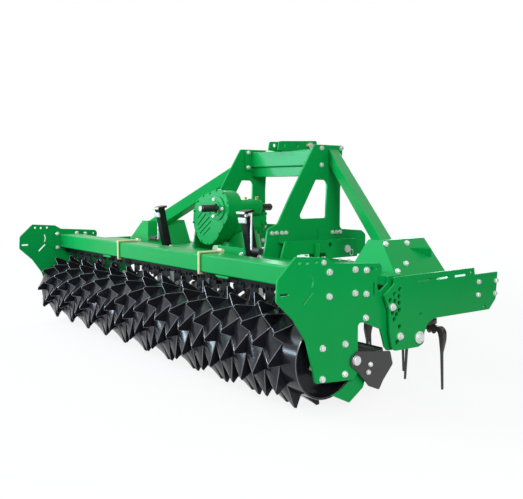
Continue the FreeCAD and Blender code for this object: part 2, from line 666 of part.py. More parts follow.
def deflector_bracket(shelf_in):
    """Plate hung on the large bolt of the right side plate, with a shelf that reaches in to shelf_in."""
    x0 = SIDE_OUT + DEFLECTOR_GAP
    points = about(DEFLECTOR_Y, DEFLECTOR_Z, [
        (-36, 16, 26), (8, 40, 26), (227, 10, 8), (246, -54, 8), (181, -121, 10), (154, -162, 10),
        (85, -133, 12), (55, -99, 12), (4, -48, 12), (-32, -22, 20)])
    body = plate_x(points, x0, x0 + DEFLECTOR_T)
    pin = rod_x(DEFLECTOR_Y, DEFLECTOR_Z, DEFLECTOR_PIN_R, SIDE_IN - 2, x0 + DEFLECTOR_T)
    head = rod_x(DEFLECTOR_Y, DEFLECTOR_Z, 21, x0 + DEFLECTOR_T, x0 + DEFLECTOR_T + 11)
    body = body.fuse(pin).fuse(head)
    for y, z in deflector_bolts():
        body = body.fuse(rod_x(y, z, 8, BLADE_X, x0))
    shelf = box(shelf_in, x0 + DEFLECTOR_T, SHELF_Y, SHELF_FRONT, DEFLECTOR_Z + 20, DEFLECTOR_Z + 26)
    return body.fuse(shelf).removeSplitter()


def deflector_bolts():
    return [(DEFLECTOR_Y + 91, DEFLECTOR_Z - 32), (DEFLECTOR_Y + 78, DEFLECTOR_Z - 66)]


def deflector_blade():
    """Curved blade that closes the end of the right side of the roller."""
    x0 = BLADE_X - DEFLECTOR_T
    points = about(DEFLECTOR_Y, DEFLECTOR_Z, [
        (-150, -131, 4), (-10, -200, 10), (79, -144, 10), (121, -21, 12), (46, -21, 12)])
    body = plate_x(points, x0, BLADE_X)
    return body.cut(rod_x(ROLLER_Y, ROLLER_R, DEFLECTOR_REACH, x0 - 1, BLADE_X + 1))


# ---------------------------------------------------------------- headstock

def low_arch(y0, y1, x0, x1):
    """Low window above the trough, between two values of Y, to be cut through a plate."""
    z0, z1 = TROUGH_TOP - 1, TROUGH_TOP + 38
    return plate_x([(y0 - 14, z0, 0), (y1 + 14, z0, 0), (y1, z1, 10), (y0, z1, 10)], x0, x1)


def headstock_plate():
    """Right headstock plate: a leaning plate with a window, wide at its foot, with a nose in front."""
    x0, x1 = HEAD_OUT - HEAD_T, HEAD_OUT
    rear = HEAD_REAR
    points = [
        (TUBE_Y0 - 78, HEAD_TOP, 10), (TUBE_Y0 + TUBE_W + 34, HEAD_TOP, 8),
        (TUBE_Y0 + TUBE_W + 15, PTO_Z + 110, 0), (TUBE_Y0 + TUBE_W + 15, TROUGH_TOP + 176, 30),
        (NOSE_Y - 40, TROUGH_TOP + 160, 25),
        (NOSE_Y, TROUGH_TOP + 132, 20), (NOSE_Y, TROUGH_TOP, 0), (rear, TROUGH_TOP, 0),
        (rear + 35, TROUGH_TOP + 196, 20), (rear + 113, TROUGH_TOP + 226, 25), (rear + 208, PTO_Z + 74, 0)]
    body = plate_x(points, x0, x1)
    low, high = PTO_Z - 63, HEAD_TOP - 222
    round_share = min(1.0, (high - low) / 100)      # smaller corners in a low window
    window = [
        (TUBE_Y0 - 70, high, 12 * round_share), (TUBE_Y0 + 30, high - 2, 30 * round_share),
        (TUBE_Y0 + 22, low, 16 * round_share), (rear + 276, low, 20 * round_share)]
    body = body.cut(plate_x(window, x0, x1))
    body = body.cut(low_arch(-60, 140, x0, x1))
    return drill_link_holes(body, x0, x1)


def drill_link_holes(body, x0, x1):
    body = body.cut(rod_x(LINK_PIN_Y, LINK_PIN_Z, LINK_PIN_R + RUNNING, x0, x1))
    return body.cut(rod_x(LINK_SPARE_Y, LINK_SPARE_Z, LINK_PIN_R, x0, x1))


def link_plate():
    """Outer plate of the right lower link clevis, with two angles that tie it to the headstock plate."""
    x0, x1 = HEAD_OUT + LINK_GAP, HEAD_OUT + LINK_GAP + LINK_T
    top = TROUGH_TOP + 118
    points = [(-138, top + 7, 10), (-179, TROUGH_TOP, 0), (LINK_FRONT, TROUGH_TOP, 0), (LINK_FRONT, top, 20)]
    body = plate_x(points, x0, x1)
    body = body.cut(low_arch(-44, 192, x0, x1))
    body = drill_link_holes(body, x0, x1)
    for y0, y1, tall in ((-120, -20, 62), (LINK_SPARE_Y - 22, LINK_FRONT - 20, 56)):
        body = body.fuse(box(HEAD_OUT, x1, y0, y1, top - SHELF_T - 2, top - 2))
        body = body.fuse(box(HEAD_OUT, HEAD_OUT + SHELF_T, y0, y1, top - 3, top + tall))
    socket = rod_z(x1 + SPACER_R / 2, LINK_SPARE_Y - 127, SPACER_R * 0.8, TROUGH_TOP, TROUGH_TOP + 100)
    return body.fuse(socket).removeSplitter()


def link_pin():
    x1 = HEAD_OUT + LINK_GAP + LINK_T
    pin = rod_x(LINK_PIN_Y, LINK_PIN_Z, LINK_PIN_R, HEAD_OUT - HEAD_T - 12, x1 + 6)
    return pin.fuse(rod_x(LINK_PIN_Y, LINK_PIN_Z, LINK_PIN_R + 10, x1, x1 + 10))


def cross_tube():
    """Tube between the tops of the headstock plates, with a bolted flange at each end."""
    half = HEAD_OUT - HEAD_T
    y1, z1 = TUBE_Y0 + TUBE_W, TUBE_Z0 + TUBE_H
    w = TUBE_WALL
    tube = box(-half, half, TUBE_Y0, y1, TUBE_Z0, z1)
    tube = tube.cut(box(-half, half, TUBE_Y0 + w, y1 - w, TUBE_Z0 + w, z1 - w))
    for side in (-1, 1):
        x0, x1 = sorted((side * half, side * (half - 12)))
        tube = tube.fuse(box(x0, x1, TUBE_Y0 - 47, y1 + 33, TUBE_Z0 - 25, HEAD_TOP - 4))
    web = box(-half, half, TUBE_Y0 + 20, TUBE_Y0 + 28, TUBE_Z0 - 70, TUBE_Z0)
    return tube.fuse(web).removeSplitter()


def top_link_bracket():
    """Two ears on the cross tube for the top link."""
    base = TUBE_Z0 + TUBE_H
    points = [(TUBE_Y0 - 97, base, 0), (TOP_PIN_Y + 60, base - 20, 12), (TOP_PIN_Y + 60, TOP_PIN_Z + 37, 12),
              (TUBE_Y0 - 85, TOP_PIN_Z + 24, 12)]
    ears = []
    for x0 in (-EAR_OUT, EAR_OUT - EAR_T):
        ear = plate_x(points, x0, x0 + EAR_T)
        ear = ear.cut(box(x0, x0 + EAR_T, TUBE_Y0, TUBE_Y0 + TUBE_W, TUBE_Z0, base))
        for y in TOP_HOLES_Y:
            ear = ear.cut(rod_x(y, TOP_PIN_Z, TOP_PIN_R, x0, x0 + EAR_T))
        ears.append(ear.cut(rod_x(TOP_PIN_Y, TOP_PIN_Z, TOP_PIN_R + RUNNING, x0, x0 + EAR_T)))
    return Part.makeCompound(ears)


def top_link_pin():
    pin = rod_x(TOP_PIN_Y, TOP_PIN_Z, TOP_PIN_R, -EAR_OUT - 20, EAR_OUT + 12)
    return pin.fuse(rod_x(TOP_PIN_Y, TOP_PIN_Z, TOP_PIN_R + 7, EAR_OUT + 2, EAR_OUT + 12))


def strut_foot():
    """Box with sloping sides on the right end of the trough, under the strut."""
    def frame(z, x0, x1, y0, y1):
        return Part.makePolygon([V(x0, y0, z), V(x1, y0, z), V(x1, y1, z), V(x0, y1, z), V(x0, y0, z)])

    end = TROUGH_HALF - FOOT_END
    low = frame(TROUGH_TOP, end - 345, end, -FLANGE_HALF + 45, FOOT_FRONT)
    high = frame(TROUGH_TOP + FOOT_H, end - 250, end - 156, -FLANGE_HALF + 99, FOOT_FRONT)
    return Part.makeLoft([low, high], True, True)


def strut():
    """Square tube from the top of the right headstock plate down to its foot."""
    run = STRUT_FOOT - STRUT_TOP
    rise = math.cos(math.atan2(-run.z, run.x))

    def prism(half):
        tall = half / rise
        corners = [V(STRUT_TOP.x, STRUT_TOP.y + dy, STRUT_TOP.z + dz)
                   for dy, dz in ((-half, -tall), (half, -tall), (half, tall), (-half, tall))]
        return facet(*corners).extrude(run)

    tube = prism(STRUT_W / 2).cut(prism(STRUT_W / 2 - STRUT_WALL))
    return tube.cut(strut_foot())


# ---------------------------------------------------------------- drive

def gearbox_housing():
    """Gearbox on the trough: base flange, bevel housing, change-gear case and front bearings."""
    x, deep = PINION_X, TROUGH_TOP
    base = rod_z(x, 0, 165, deep, deep + 20)
    stem = Part.makeCone(140, 112, PINION_Z - deep - 97, V(x, 0, deep + 20), ALONG_Z)
    body = base.fuse(stem)
    body = body.fuse(hull_section(CASE_REAR, CASE_FRONT, 0, PTO_Z, CASE_R, x, PINION_Z, CASE_LOW_R))
    body = body.fuse(rod_y(x, PINION_Z, BEVEL_R, CASE_FRONT, BEVEL_FRONT))
    body = body.fuse(rod_y(x, PINION_Z, BEVEL_R + 8, BEVEL_FRONT - 28, BEVEL_FRONT - 12))
    body = body.fuse(rod_y(0, PTO_Z, 52, CASE_FRONT, SHAFT_FRONT - 10))
    bore = PTO_R + SHAFT_STEP + RUNNING
    return body.cut(rod_y(0, PTO_Z, bore, CASE_REAR - 1, SHAFT_FRONT)).removeSplitter()


def gearbox_cover():
    """Rear cover over the change gears, with a rim wider than the case."""
    y0 = CASE_REAR - COVER_T
    upper, lower = CASE_R + COVER_RIM, CASE_LOW_R + COVER_RIM
    cover = hull_section(y0, CASE_REAR, 0, PTO_Z, upper, PINION_X, PINION_Z, lower)
    return cover.cut(rod_y(0, PTO_Z, PTO_R + SHAFT_STEP + RUNNING, y0, CASE_REAR))


def pto_shaft():
    """Through shaft with a splined stub at each end."""
    shaft = rod_y(0, PTO_Z, PTO_R + SHAFT_STEP, SHAFT_REAR, SHAFT_FRONT)
    stub = rod_y(0, PTO_Z, PTO_R, STUB_REAR, STUB_FRONT)
    return shaft.fuse(stub).removeSplitter()


# ---------------------------------------------------------------- levelling board

def along_jack(shape, x):
    """Put a shape drawn from z = 0 downwards at the top of a jack, leaning like it."""
    shape.rotate(V(0, 0, 0), ALONG_X, JACK_LEAN)
    shape.translate(V(x, JACK_TOP_Y, JACK_TOP_Z))
    return shape


def square_x(width, x_half, s0, s1):
    return box(-x_half, x_half, -width / 2, width / 2, -s1, -s0)


def jack_tube(x):
    """Outer tube of a screw jack, with its cap and the bracket that bolts it to the rear rail."""
    half = JACK_W / 2
    tube = square_x(JACK_W, half, JACK_CAP, JACK_LENGTH)
    bore = half - JACK_WALL
    tube = tube.cut(square_x(bore * 2, bore, JACK_CAP, JACK_LENGTH + 1))
    tube = tube.fuse(square_x(JACK_W + 24, half + 12, 0, JACK_CAP))
    tube = along_jack(tube, x)
    rail_y = -FLANGE_HALF - RAIL_DEPTH
    z0 = TROUGH_TOP - FLANGE_T
    ear = box(x - half - 8, x - half, rail_y - 70, rail_y, z0, z0 + RAIL_H)
    other = box(x + half, x + half + 8, rail_y - 70, rail_y, z0, z0 + RAIL_H)
    return tube.fuse(ear).fuse(other)


def jack_rod(x):
    half = JACK_W / 2 - JACK_WALL - ROD_FIT
    return along_jack(square_x(half * 2, half, ROD_FROM, ROD_TO), x)


def levelling_board():
    """Board behind the rotors, hung on the two jack rods, with a lip along its top."""
    board = box(-BOARD_HALF, BOARD_HALF, 0, BOARD_T, -ROD_TO - BOARD_H, -ROD_TO)
    lip = box(-BOARD_HALF, BOARD_HALF, -BOARD_LIP, BOARD_T, -ROD_TO - BOARD_T, -ROD_TO)
    return along_jack(board.fuse(lip).removeSplitter(), 0)


# ---------------------------------------------------------------- assembly

def pair(shape):
    return Part.makeCompound([shape, mirrored(shape)])


def build():
    parts = {
        "trough": trough(),
        "rear_rail": rear_rail(),
        "end_plate_right": end_plate(),
        "end_plate_left": mirrored(end_plate()),
        "front_cleats": pair(front_cleat()),
        "stop_pins": pair(stop_pins()),
        "hub_pins": pair(hub_pin()),
        "headstock_plate_right": headstock_plate(),
        "headstock_plate_left": mirrored(headstock_plate()),
        "link_plates": pair(link_plate()),
        "hitch_pins": Part.makeCompound([pair(link_pin()), top_link_pin()]),
        "cross_tube": cross_tube(),
        "top_link_bracket": top_link_bracket(),
        "strut_right": strut(),
        "strut_left": mirrored(strut()),
        "strut_foot_right": strut_foot(),
        "strut_foot_left": mirrored(strut_foot()),
        "gearbox_housing": gearbox_housing(),
        "gearbox_cover": gearbox_cover(),
        "pto_shaft": pto_shaft(),
        "jack_tubes": Part.makeCompound([jack_tube(-JACK_X), jack_tube(JACK_X)]),
        "jack_rods": Part.makeCompound([jack_rod(-JACK_X), jack_rod(JACK_X)]),
        "levelling_board": levelling_board(),
        "side_plate_right": side_plate(),
        "side_plate_left": mirrored(side_plate()),
        "arm_doublers": pair(arm_doubler()),
        "crossbeam": crossbeam(),
        "u_bolts": Part.makeCompound([u_bolt(-UBOLT_X), u_bolt(UBOLT_X)]),
        "scraper_bar": scraper_bar(),
        "scrapers": scrapers(),
        "bearings": pair(bearing()),
        "roller": roller(),
        "deflector_bracket_right": deflector_bracket(SHELF_IN),
        "deflector_bracket_left": mirrored(deflector_bracket(ROLLER_HALF + TOOTH_GAP)),
        "deflector_blade_right": deflector_blade(),
        "deflector_blade_left": mirrored(deflector_blade()),
    }
    for i, x in enumerate(rotor_places()):
        parts["rotor_head_%02d" % (i + 1)] = rotor_head(x)
        parts["tines_%02d" % (i + 1)] = tine_pair(x, ROTORS - 1 - i)
    return parts


os.makedirs("parts", exist_ok=True)
for name, shape in build().items():
    shape.translate(V(0, -MIDDLE_Y, 0))
    shape.exportStep("parts/%s.step" % name)
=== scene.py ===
import json
import math

import bmesh
import bpy
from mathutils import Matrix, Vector

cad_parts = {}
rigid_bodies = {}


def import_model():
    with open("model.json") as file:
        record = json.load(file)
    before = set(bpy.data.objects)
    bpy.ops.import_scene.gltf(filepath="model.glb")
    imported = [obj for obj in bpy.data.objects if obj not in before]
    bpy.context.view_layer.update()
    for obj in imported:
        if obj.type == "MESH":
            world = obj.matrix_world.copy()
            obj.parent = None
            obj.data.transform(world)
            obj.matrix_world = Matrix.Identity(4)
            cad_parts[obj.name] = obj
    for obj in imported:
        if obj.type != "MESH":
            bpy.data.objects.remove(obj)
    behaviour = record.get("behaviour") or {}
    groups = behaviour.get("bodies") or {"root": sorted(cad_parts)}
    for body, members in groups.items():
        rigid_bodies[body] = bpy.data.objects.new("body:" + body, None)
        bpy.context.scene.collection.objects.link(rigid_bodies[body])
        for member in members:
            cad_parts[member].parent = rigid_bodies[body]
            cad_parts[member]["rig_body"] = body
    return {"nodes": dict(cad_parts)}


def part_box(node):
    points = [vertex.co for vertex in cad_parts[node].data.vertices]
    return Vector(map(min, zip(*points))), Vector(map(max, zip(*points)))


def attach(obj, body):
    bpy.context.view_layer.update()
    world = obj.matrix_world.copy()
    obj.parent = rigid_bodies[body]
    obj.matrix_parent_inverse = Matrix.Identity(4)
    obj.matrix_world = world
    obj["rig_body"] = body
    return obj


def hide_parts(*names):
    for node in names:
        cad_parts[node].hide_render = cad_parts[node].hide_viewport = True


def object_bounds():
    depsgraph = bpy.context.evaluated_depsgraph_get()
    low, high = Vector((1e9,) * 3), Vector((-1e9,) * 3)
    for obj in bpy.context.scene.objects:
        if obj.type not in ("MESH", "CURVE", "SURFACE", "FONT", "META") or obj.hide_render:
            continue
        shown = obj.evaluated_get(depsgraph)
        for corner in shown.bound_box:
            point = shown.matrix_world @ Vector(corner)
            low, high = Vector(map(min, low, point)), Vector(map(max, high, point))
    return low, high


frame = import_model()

cad_box = [list(corner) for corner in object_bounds()]


# ---- Camera
# It stands a metre above the ground off the right rear corner, four and a half metres from the
# machine's middle, so the near end of the roller looks larger than the far one.
CAMERA_FROM_MIDDLE = (3.702, -2.617, 0.356)


def placed(name, data):
    """A new object in the scene, at its origin."""
    thing = bpy.data.objects.new(name, data)
    bpy.context.scene.collection.objects.link(thing)
    return thing


lens = bpy.data.cameras.new("Camera")
lens.lens = 48.06
lens.sensor_width = 36
camera = placed("Camera", lens)
camera.location = (Vector(cad_box[0]) + Vector(cad_box[1])) / 2 + Vector(CAMERA_FROM_MIDDLE)
camera.rotation_euler = (math.radians(84.74), 0, math.radians(52.09))
bpy.context.scene.camera = camera
bpy.context.scene.view_settings.view_transform = "Standard"


# ---- Studio floor, sky and lamps
# A white paper floor runs on into a white sky. Soft lamps stand behind, in front and to the right,
# and a low one streaks the roller. A dark card shows only in the gloss of the paint.
FLOOR_HALF = 60.0
FLOOR_DROP = 0.001      # the paper lies this far under the machine
FLOOR_WHITE = 0.95
FLOOR_BOUNCE = 0.30     # how white the floor is to the light that it throws back up
FLOOR_GLOW = 0.86       # share of plain white in what is seen of the floor near the machine
GLOW_NEAR, GLOW_FAR = 2.6, 8.0      # distances between which that share rises to one
SKY_LEVEL = 0.46


def socket_of(sockets, name):
    """A socket by its number, or by its name among those in use."""
    if isinstance(name, int):
        return sockets[name]
    return next(s for s in sockets if s.enabled and s.name == name)


def step(tree, kind, inputs, **settings):
    """A node of a tree with its settings, and its inputs joined to other nodes or set."""
    made = tree.nodes.new(kind)
    for setting, value in settings.items():
        setattr(made, setting, value)
    for name, value in inputs.items():
        target = socket_of(made.inputs, name)
        if isinstance(value, bpy.types.NodeSocket):
            tree.links.new(value, target)
        else:
            target.default_value = value
    return made


def calc(tree, operation, a, b):
    return step(tree, "ShaderNodeMath", {0: a, 1: b}, operation=operation).outputs[0]


def seen_directly(tree):
    """One for rays that show the surroundings themselves, and none for those that light things."""
    path = step(tree, "ShaderNodeLightPath", {}).outputs
    seen = path["Is Camera Ray"]
    for other in ("Is Glossy Ray", "Is Transmission Ray"):
        seen = calc(tree, "MAXIMUM", seen, path[other])
    return seen


def sky():
    """White where it is seen, and dimmer in what it lights."""
    world = bpy.data.worlds.new("Sky")
    world.use_nodes = True
    tree = world.node_tree
    level = step(tree, "ShaderNodeMapRange", {
        "Value": seen_directly(tree), "To Min": SKY_LEVEL, "To Max": 1.0})
    background = tree.nodes["Background"].inputs
    background["Color"].default_value = (1, 1, 1, 1)
    tree.links.new(level.outputs["Result"], background["Strength"])
    bpy.context.scene.world = world


def floor_paper():
    """Matt white paper that keeps the machine's shadow and fades into the sky."""
    paper = bpy.data.materials.new("Floor paper")
    paper.use_nodes = True
    tree = paper.node_tree
    surface = tree.nodes["Principled BSDF"]
    seen = seen_directly(tree)
    tone = step(tree, "ShaderNodeMix", {
        "Factor": seen, "A": (*[FLOOR_BOUNCE] * 3, 1), "B": (*[FLOOR_WHITE] * 3, 1)}, data_type="RGBA")
    tree.links.new(socket_of(tone.outputs, "Result"), surface.inputs["Base Color"])
    surface.inputs["Roughness"].default_value = 0.9
    surface.inputs["Specular IOR Level"].default_value = 0.1
    place = step(tree, "ShaderNodeTexCoord", {}).outputs["Object"]
    reach = step(tree, "ShaderNodeVectorMath", {0: place}, operation="LENGTH").outputs["Value"]
    plain = step(tree, "ShaderNodeMapRange", {
        "Value": reach, "From Min": GLOW_NEAR, "From Max": GLOW_FAR, "To Min": FLOOR_GLOW, "To Max": 1.0})
    share = calc(tree, "MULTIPLY", seen, plain.outputs["Result"])
    glow = step(tree, "ShaderNodeEmission", {})
    both = step(tree, "ShaderNodeMixShader", {0: share, 1: surface.outputs[0], 2: glow.outputs[0]})
    tree.links.new(both.outputs[0], tree.nodes["Material Output"].inputs["Surface"])
    return paper


def sheet(name, corners, material):
    """Flat four-cornered sheet of the studio."""
    mesh = bpy.data.meshes.new(name)
    mesh.from_pydata(corners, [], [(0, 1, 2, 3)])
    mesh.materials.append(material)
    piece = placed(name, mesh)
    return piece


def soft_lamp(name, place, aim, size, watts, tint=(1, 1, 1)):
    lamp = bpy.data.lights.new(name, "AREA")
    lamp.shape = "RECTANGLE"
    lamp.size, lamp.size_y = size
    lamp.energy = watts
    lamp.color = tint
    holder = placed(name, lamp)
    holder.location = place
    holder.rotation_euler = (Vector(aim) - Vector(place)).to_track_quat("-Z", "Y").to_euler()
    holder.visible_camera = False


black_cloth = bpy.data.materials.new("Black cloth")
black_cloth.use_nodes = True
cloth = black_cloth.node_tree.nodes["Principled BSDF"].inputs
cloth["Base Color"].default_value = (0.01, 0.01, 0.01, 1)
cloth["Specular IOR Level"].default_value = 0

sky()
floor_corners = ((-1, -1), (1, -1), (1, 1), (-1, 1))
sheet("floor", [(x * FLOOR_HALF, y * FLOOR_HALF, -FLOOR_DROP) for x, y in floor_corners], floor_paper())
card = sheet("dark_card", [(4.6, 0.6, 0), (2.6, 4.4, 0), (2.6, 4.4, 2.6), (4.6, 0.6, 2.6)], black_cloth)
card.visible_camera = False
card.visible_shadow = False
card.visible_diffuse = False
soft_lamp("Rear lamp", (-3.2, -5.2, 4.6), (0, 0, 0.5), (3.6, 2.4), 270, (0.72, 0.95, 1.0))
soft_lamp("Right lamp", (6.5, -3.5, 3.4), (0.6, 0, 0.5), (2.0, 2.0), 250)
soft_lamp("Low lamp", (-5.2, -6.4, 1.5), (0, -0.6, 0.4), (5.0, 0.9), 420, (0.66, 0.84, 1.0))
soft_lamp("Front lamp", (-5.0, 6.0, 3.0), (0, 0, 0.9), (4.5, 2.0), 200, (0.72, 1.0, 0.97))


# ---- Gear trough
# A folded steel trough holds the row of gears. Its lid is a flange bolted down along both edges,
# and the whole is sprayed with green enamel after welding.
M = 1000.0              # millimetres in a metre
EDGE = 0.0014           # broken edge of cut plate
TOUCHING = 0.00002      # corners nearer than this are one
FLAT_WITHIN = math.radians(0.4)     # faces that turn less than this are one
SHARP_FROM = math.radians(32)       # edges that turn more than this are broken
LONG_EDGE = 0.6         # the folds of a tube are longer than this
GLOSS_DRIFT = 0.2       # share by which the roughness of a finish varies
GREEN = (0.003, 0.385, 0.080)
GREEN_DEEP = (0.002, 0.33, 0.064)
GREEN_GLOSS = (0.45, 1.0, 0.85)


def middle_of(node):
    low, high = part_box(node)
    return (low + high) / 2


line_y = middle_of("rotor_head_12").y


def here(x, y, z):
    """A place in millimetres from the middle of the rotor line on the ground, as the part's own place."""
    return Vector((x / M, line_y + y / M, z / M))


def ahead(place):
    """How far a place lies in front of the rotor line, in millimetres."""
    return (place.y - line_y) * M


def finish_of(name, colour, second, roughness, patch=4.0, grain=300.0, relief=0.03, metal=0.0, coat=0.0,
              specular=0.5, gloss_tint=(1, 1, 1)):
    """A finish that drifts between two colours in patches, with a fine grain in its gloss and surface."""
    material = bpy.data.materials.new(name)
    material.use_nodes = True
    tree = material.node_tree
    surface = tree.nodes["Principled BSDF"].inputs
    surface["Metallic"].default_value = metal
    surface["Coat Weight"].default_value = coat
    surface["Coat Roughness"].default_value = 0.07
    surface["Specular IOR Level"].default_value = specular
    surface["Specular Tint"].default_value = (*gloss_tint, 1)
    place = step(tree, "ShaderNodeTexCoord", {}).outputs["Object"]
    broad = step(tree, "ShaderNodeTexNoise", {"Vector": place, "Scale": patch, "Detail": 5})
    fine = step(tree, "ShaderNodeTexNoise", {"Vector": place, "Scale": grain, "Detail": 2})
    blend = step(tree, "ShaderNodeMix", {
        "Factor": broad.outputs["Fac"], "A": (*colour, 1), "B": (*second, 1)}, data_type="RGBA")
    gloss = step(tree, "ShaderNodeMapRange", {
        "Value": fine.outputs["Fac"], "To Min": roughness * (1 - GLOSS_DRIFT),
        "To Max": roughness * (1 + GLOSS_DRIFT)})
    bump = step(tree, "ShaderNodeBump", {
        "Height": fine.outputs["Fac"], "Strength": relief, "Distance": 0.001})
    tree.links.new(socket_of(blend.outputs, "Result"), surface["Base Color"])
    tree.links.new(gloss.outputs["Result"], surface["Roughness"])
    tree.links.new(bump.outputs["Normal"], surface["Normal"])
    return material


def fitted(name, mesh, body, finish, stands_for=()):
    """A piece on its body, standing for the plain nodes that it covers. With no finish it keeps its own."""
    if finish:
        mesh.materials.clear()
        mesh.materials.append(finish)
    piece = placed(name, mesh)
    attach(piece, body)
    if stands_for:
        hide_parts(*stands_for)


def taken_from(carrier):
    """The mesh that a carrier shows with its modifiers at work. The carrier itself is removed."""
    depsgraph = bpy.context.evaluated_depsgraph_get()
    mesh = bpy.data.meshes.new_from_object(carrier.evaluated_get(depsgraph))
    bpy.data.objects.remove(carrier)
    return mesh


def worked(mesh, *modifiers):
    """The mesh as it comes out of modifiers, each given as its kind and its settings."""
    carrier = placed("carrier", mesh)
    for kind, settings in modifiers:
        modifier = carrier.modifiers.new(kind, kind)
        for setting, value in settings.items():
            setattr(modifier, setting, value)
    return taken_from(carrier)


def joined_up(mesh):
    """A shape to work on: the mesh with its loose triangles joined at their corners."""
    shape = bmesh.new()
    shape.from_mesh(mesh)
    bmesh.ops.remove_doubles(shape, verts=shape.verts, dist=TOUCHING)
    return shape


def flat_sided(mesh):
    """The mesh joined up with its flat faces whole, and the layer that holds each edge's share of a bevel."""
    shape = joined_up(mesh)
    bmesh.ops.dissolve_limit(shape, angle_limit=FLAT_WITHIN, verts=shape.verts, edges=shape.edges)
    for face in shape.faces:
        face.smooth = True
    return shape, shape.edges.layers.float.new("bevel_weight_edge")


def mesh_of(shape, name):
    mesh = bpy.data.meshes.new(name)
    shape.to_mesh(mesh)
    shape.free()
    return mesh


def softened(mesh, edge, fold=0.0):
    """Break the sharp edges of a mesh by edge. Its long edges along a folded tube get the radius fold."""
    shape, share = flat_sided(mesh)
    widest = max(edge, fold)
    for side in shape.edges:
        if len(side.link_faces) == 2 and side.calc_face_angle() > SHARP_FROM:
            side[share] = (fold if fold and side.calc_length() > LONG_EDGE else edge) / widest
    bevel = {"width": widest, "segments": 3 if fold else 2, "limit_method": "WEIGHT",
             "use_clamp_overlap": False}
    return worked(mesh_of(shape, "softened"), ("BEVEL", bevel), ("WEIGHTED_NORMAL", {"weight": 80}))


def dressed(node, finish, edge=EDGE, fold=0.0):
    """The node's own shape with its edges broken, in its place."""
    source = frame["nodes"][node]
    fitted(node + "_finished", softened(source.data, edge, fold), source["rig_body"], finish, [node])


def recipe(name, sizes):
    """Empty tree whose named inputs are the sizes of what it makes."""
    tree = bpy.data.node_groups.new(name, "GeometryNodeTree")
    tree.interface.new_socket("Geometry", in_out="INPUT", socket_type="NodeSocketGeometry")
    for label, kind, value in sizes + [("Finish", "Material", None)]:
        size = tree.interface.new_socket(label, in_out="INPUT", socket_type="NodeSocket" + kind)
        if value is not None:
            size.default_value = value
    tree.interface.new_socket("Geometry", in_out="OUTPUT", socket_type="NodeSocketGeometry")
    return tree, tree.nodes.new("NodeGroupInput").outputs


def ends_in(tree, given, geometry):
    """Close a tree: instances made real, in the finish that was asked for."""
    real = step(tree, "GeometryNodeRealizeInstances", {"Geometry": geometry})
    painted = step(tree, "GeometryNodeSetMaterial", {
        "Geometry": real.outputs[0], "Material": given["Finish"]})
    tree.links.new(painted.outputs[0], tree.nodes.new("NodeGroupOutput").inputs[0])


def made_by(tree, name, body, finish, slot, points, edges=(), stands_for=(), **sizes):
    """Run a tree on points and edges, keep what it makes as a plain mesh, and fit that to its body."""
    mesh = bpy.data.meshes.new(name)
    mesh.from_pydata([tuple(p) for p in points], edges, [])
    carrier = placed("carrier", mesh)
    modifier = carrier.modifiers.new("recipe", "NODES")
    modifier.node_group = tree
    wanted = {label.replace("_", " "): value for label, value in sizes.items()}
    wanted["Finish"] = finish
    for item in tree.interface.items_tree:
        if item.in_out == "INPUT" and item.name in wanted:
            modifier[item.identifier] = wanted[item.name]
    fitted(name, taken_from(carrier), body, finish, stands_for)


FLATS_TO_CORNER = 0.5774
CHAMFER_SHARE = 0.22    # of the height of a head
CROWN_SHARE = 0.84      # of the head's width, left by the chamfer
CORE_SHARE = 0.31       # radius of the thread, of the width across flats
ANY_TURN = 1.05         # a sixth of a turn, in radians
ROUND, HEXAGON, THREAD_SIDES = 18, 6, 10


def hex_heads():
    """Washer, hexagon and chamfer on every point, all turned to face one way."""
    tree, given = recipe("Hex heads", [
        ("Across flats", "Float", 0.024), ("Height", "Float", 0.01), ("Washer", "Float", 0.03),
        ("Washer thickness", "Float", 0.003), ("Thread", "Float", 0.0004), ("Facing", "Vector", (0, 0, 1)),
        ("Seed", "Int", 1)])
    flats, height, thin = given["Across flats"], given["Height"], given["Washer thickness"]
    corner = calc(tree, "MULTIPLY", flats, FLATS_TO_CORNER)
    prism = calc(tree, "MULTIPLY", height, 1 - CHAMFER_SHARE)
    chamfer = calc(tree, "MULTIPLY", height, CHAMFER_SHARE)
    rim = calc(tree, "MULTIPLY", given["Washer"], 0.5)
    crown = calc(tree, "MULTIPLY", corner, CROWN_SHARE)
    core = calc(tree, "MULTIPLY", flats, CORE_SHARE)
    shoulder = calc(tree, "ADD", thin, prism)
    top = calc(tree, "ADD", thin, height)
    join = tree.nodes.new("GeometryNodeJoinGeometry")
    layers = [(ROUND, rim, rim, thin, 0.0), (HEXAGON, corner, corner, prism, thin),
              (HEXAGON, corner, crown, chamfer, shoulder), (THREAD_SIDES, core, core, given["Thread"], top)]
    for sides, low, high, deep, lift in layers:
        cone = step(tree, "GeometryNodeMeshCone", {
            "Vertices": sides, "Radius Bottom": low, "Radius Top": high, "Depth": deep})
        up = step(tree, "ShaderNodeCombineXYZ", {"Z": lift})
        moved = step(tree, "GeometryNodeTransform", {
            "Geometry": cone.outputs["Mesh"], "Translation": up.outputs[0]})
        tree.links.new(moved.outputs[0], join.inputs[0])
    turn = step(tree, "FunctionNodeRandomValue", {"Min": 0.0, "Max": ANY_TURN, "Seed": given["Seed"]},
                data_type="FLOAT")
    about = step(tree, "FunctionNodeAxisAngleToRotation", {
        "Axis": (0, 0, 1), "Angle": socket_of(turn.outputs, "Value")})
    faced = step(tree, "FunctionNodeAlignRotationToVector", {"Vector": given["Facing"]}, axis="Z")
    spun = step(tree, "FunctionNodeRotateRotation", {
        "Rotation": faced.outputs[0], "Rotate By": about.outputs[0]}, rotation_space="LOCAL")
    heads = step(tree, "GeometryNodeInstanceOnPoints", {
        "Points": given["Geometry"], "Instance": join.outputs[0], "Rotation": spun.outputs[0]})
    ends_in(tree, given, heads.outputs[0])
    return tree


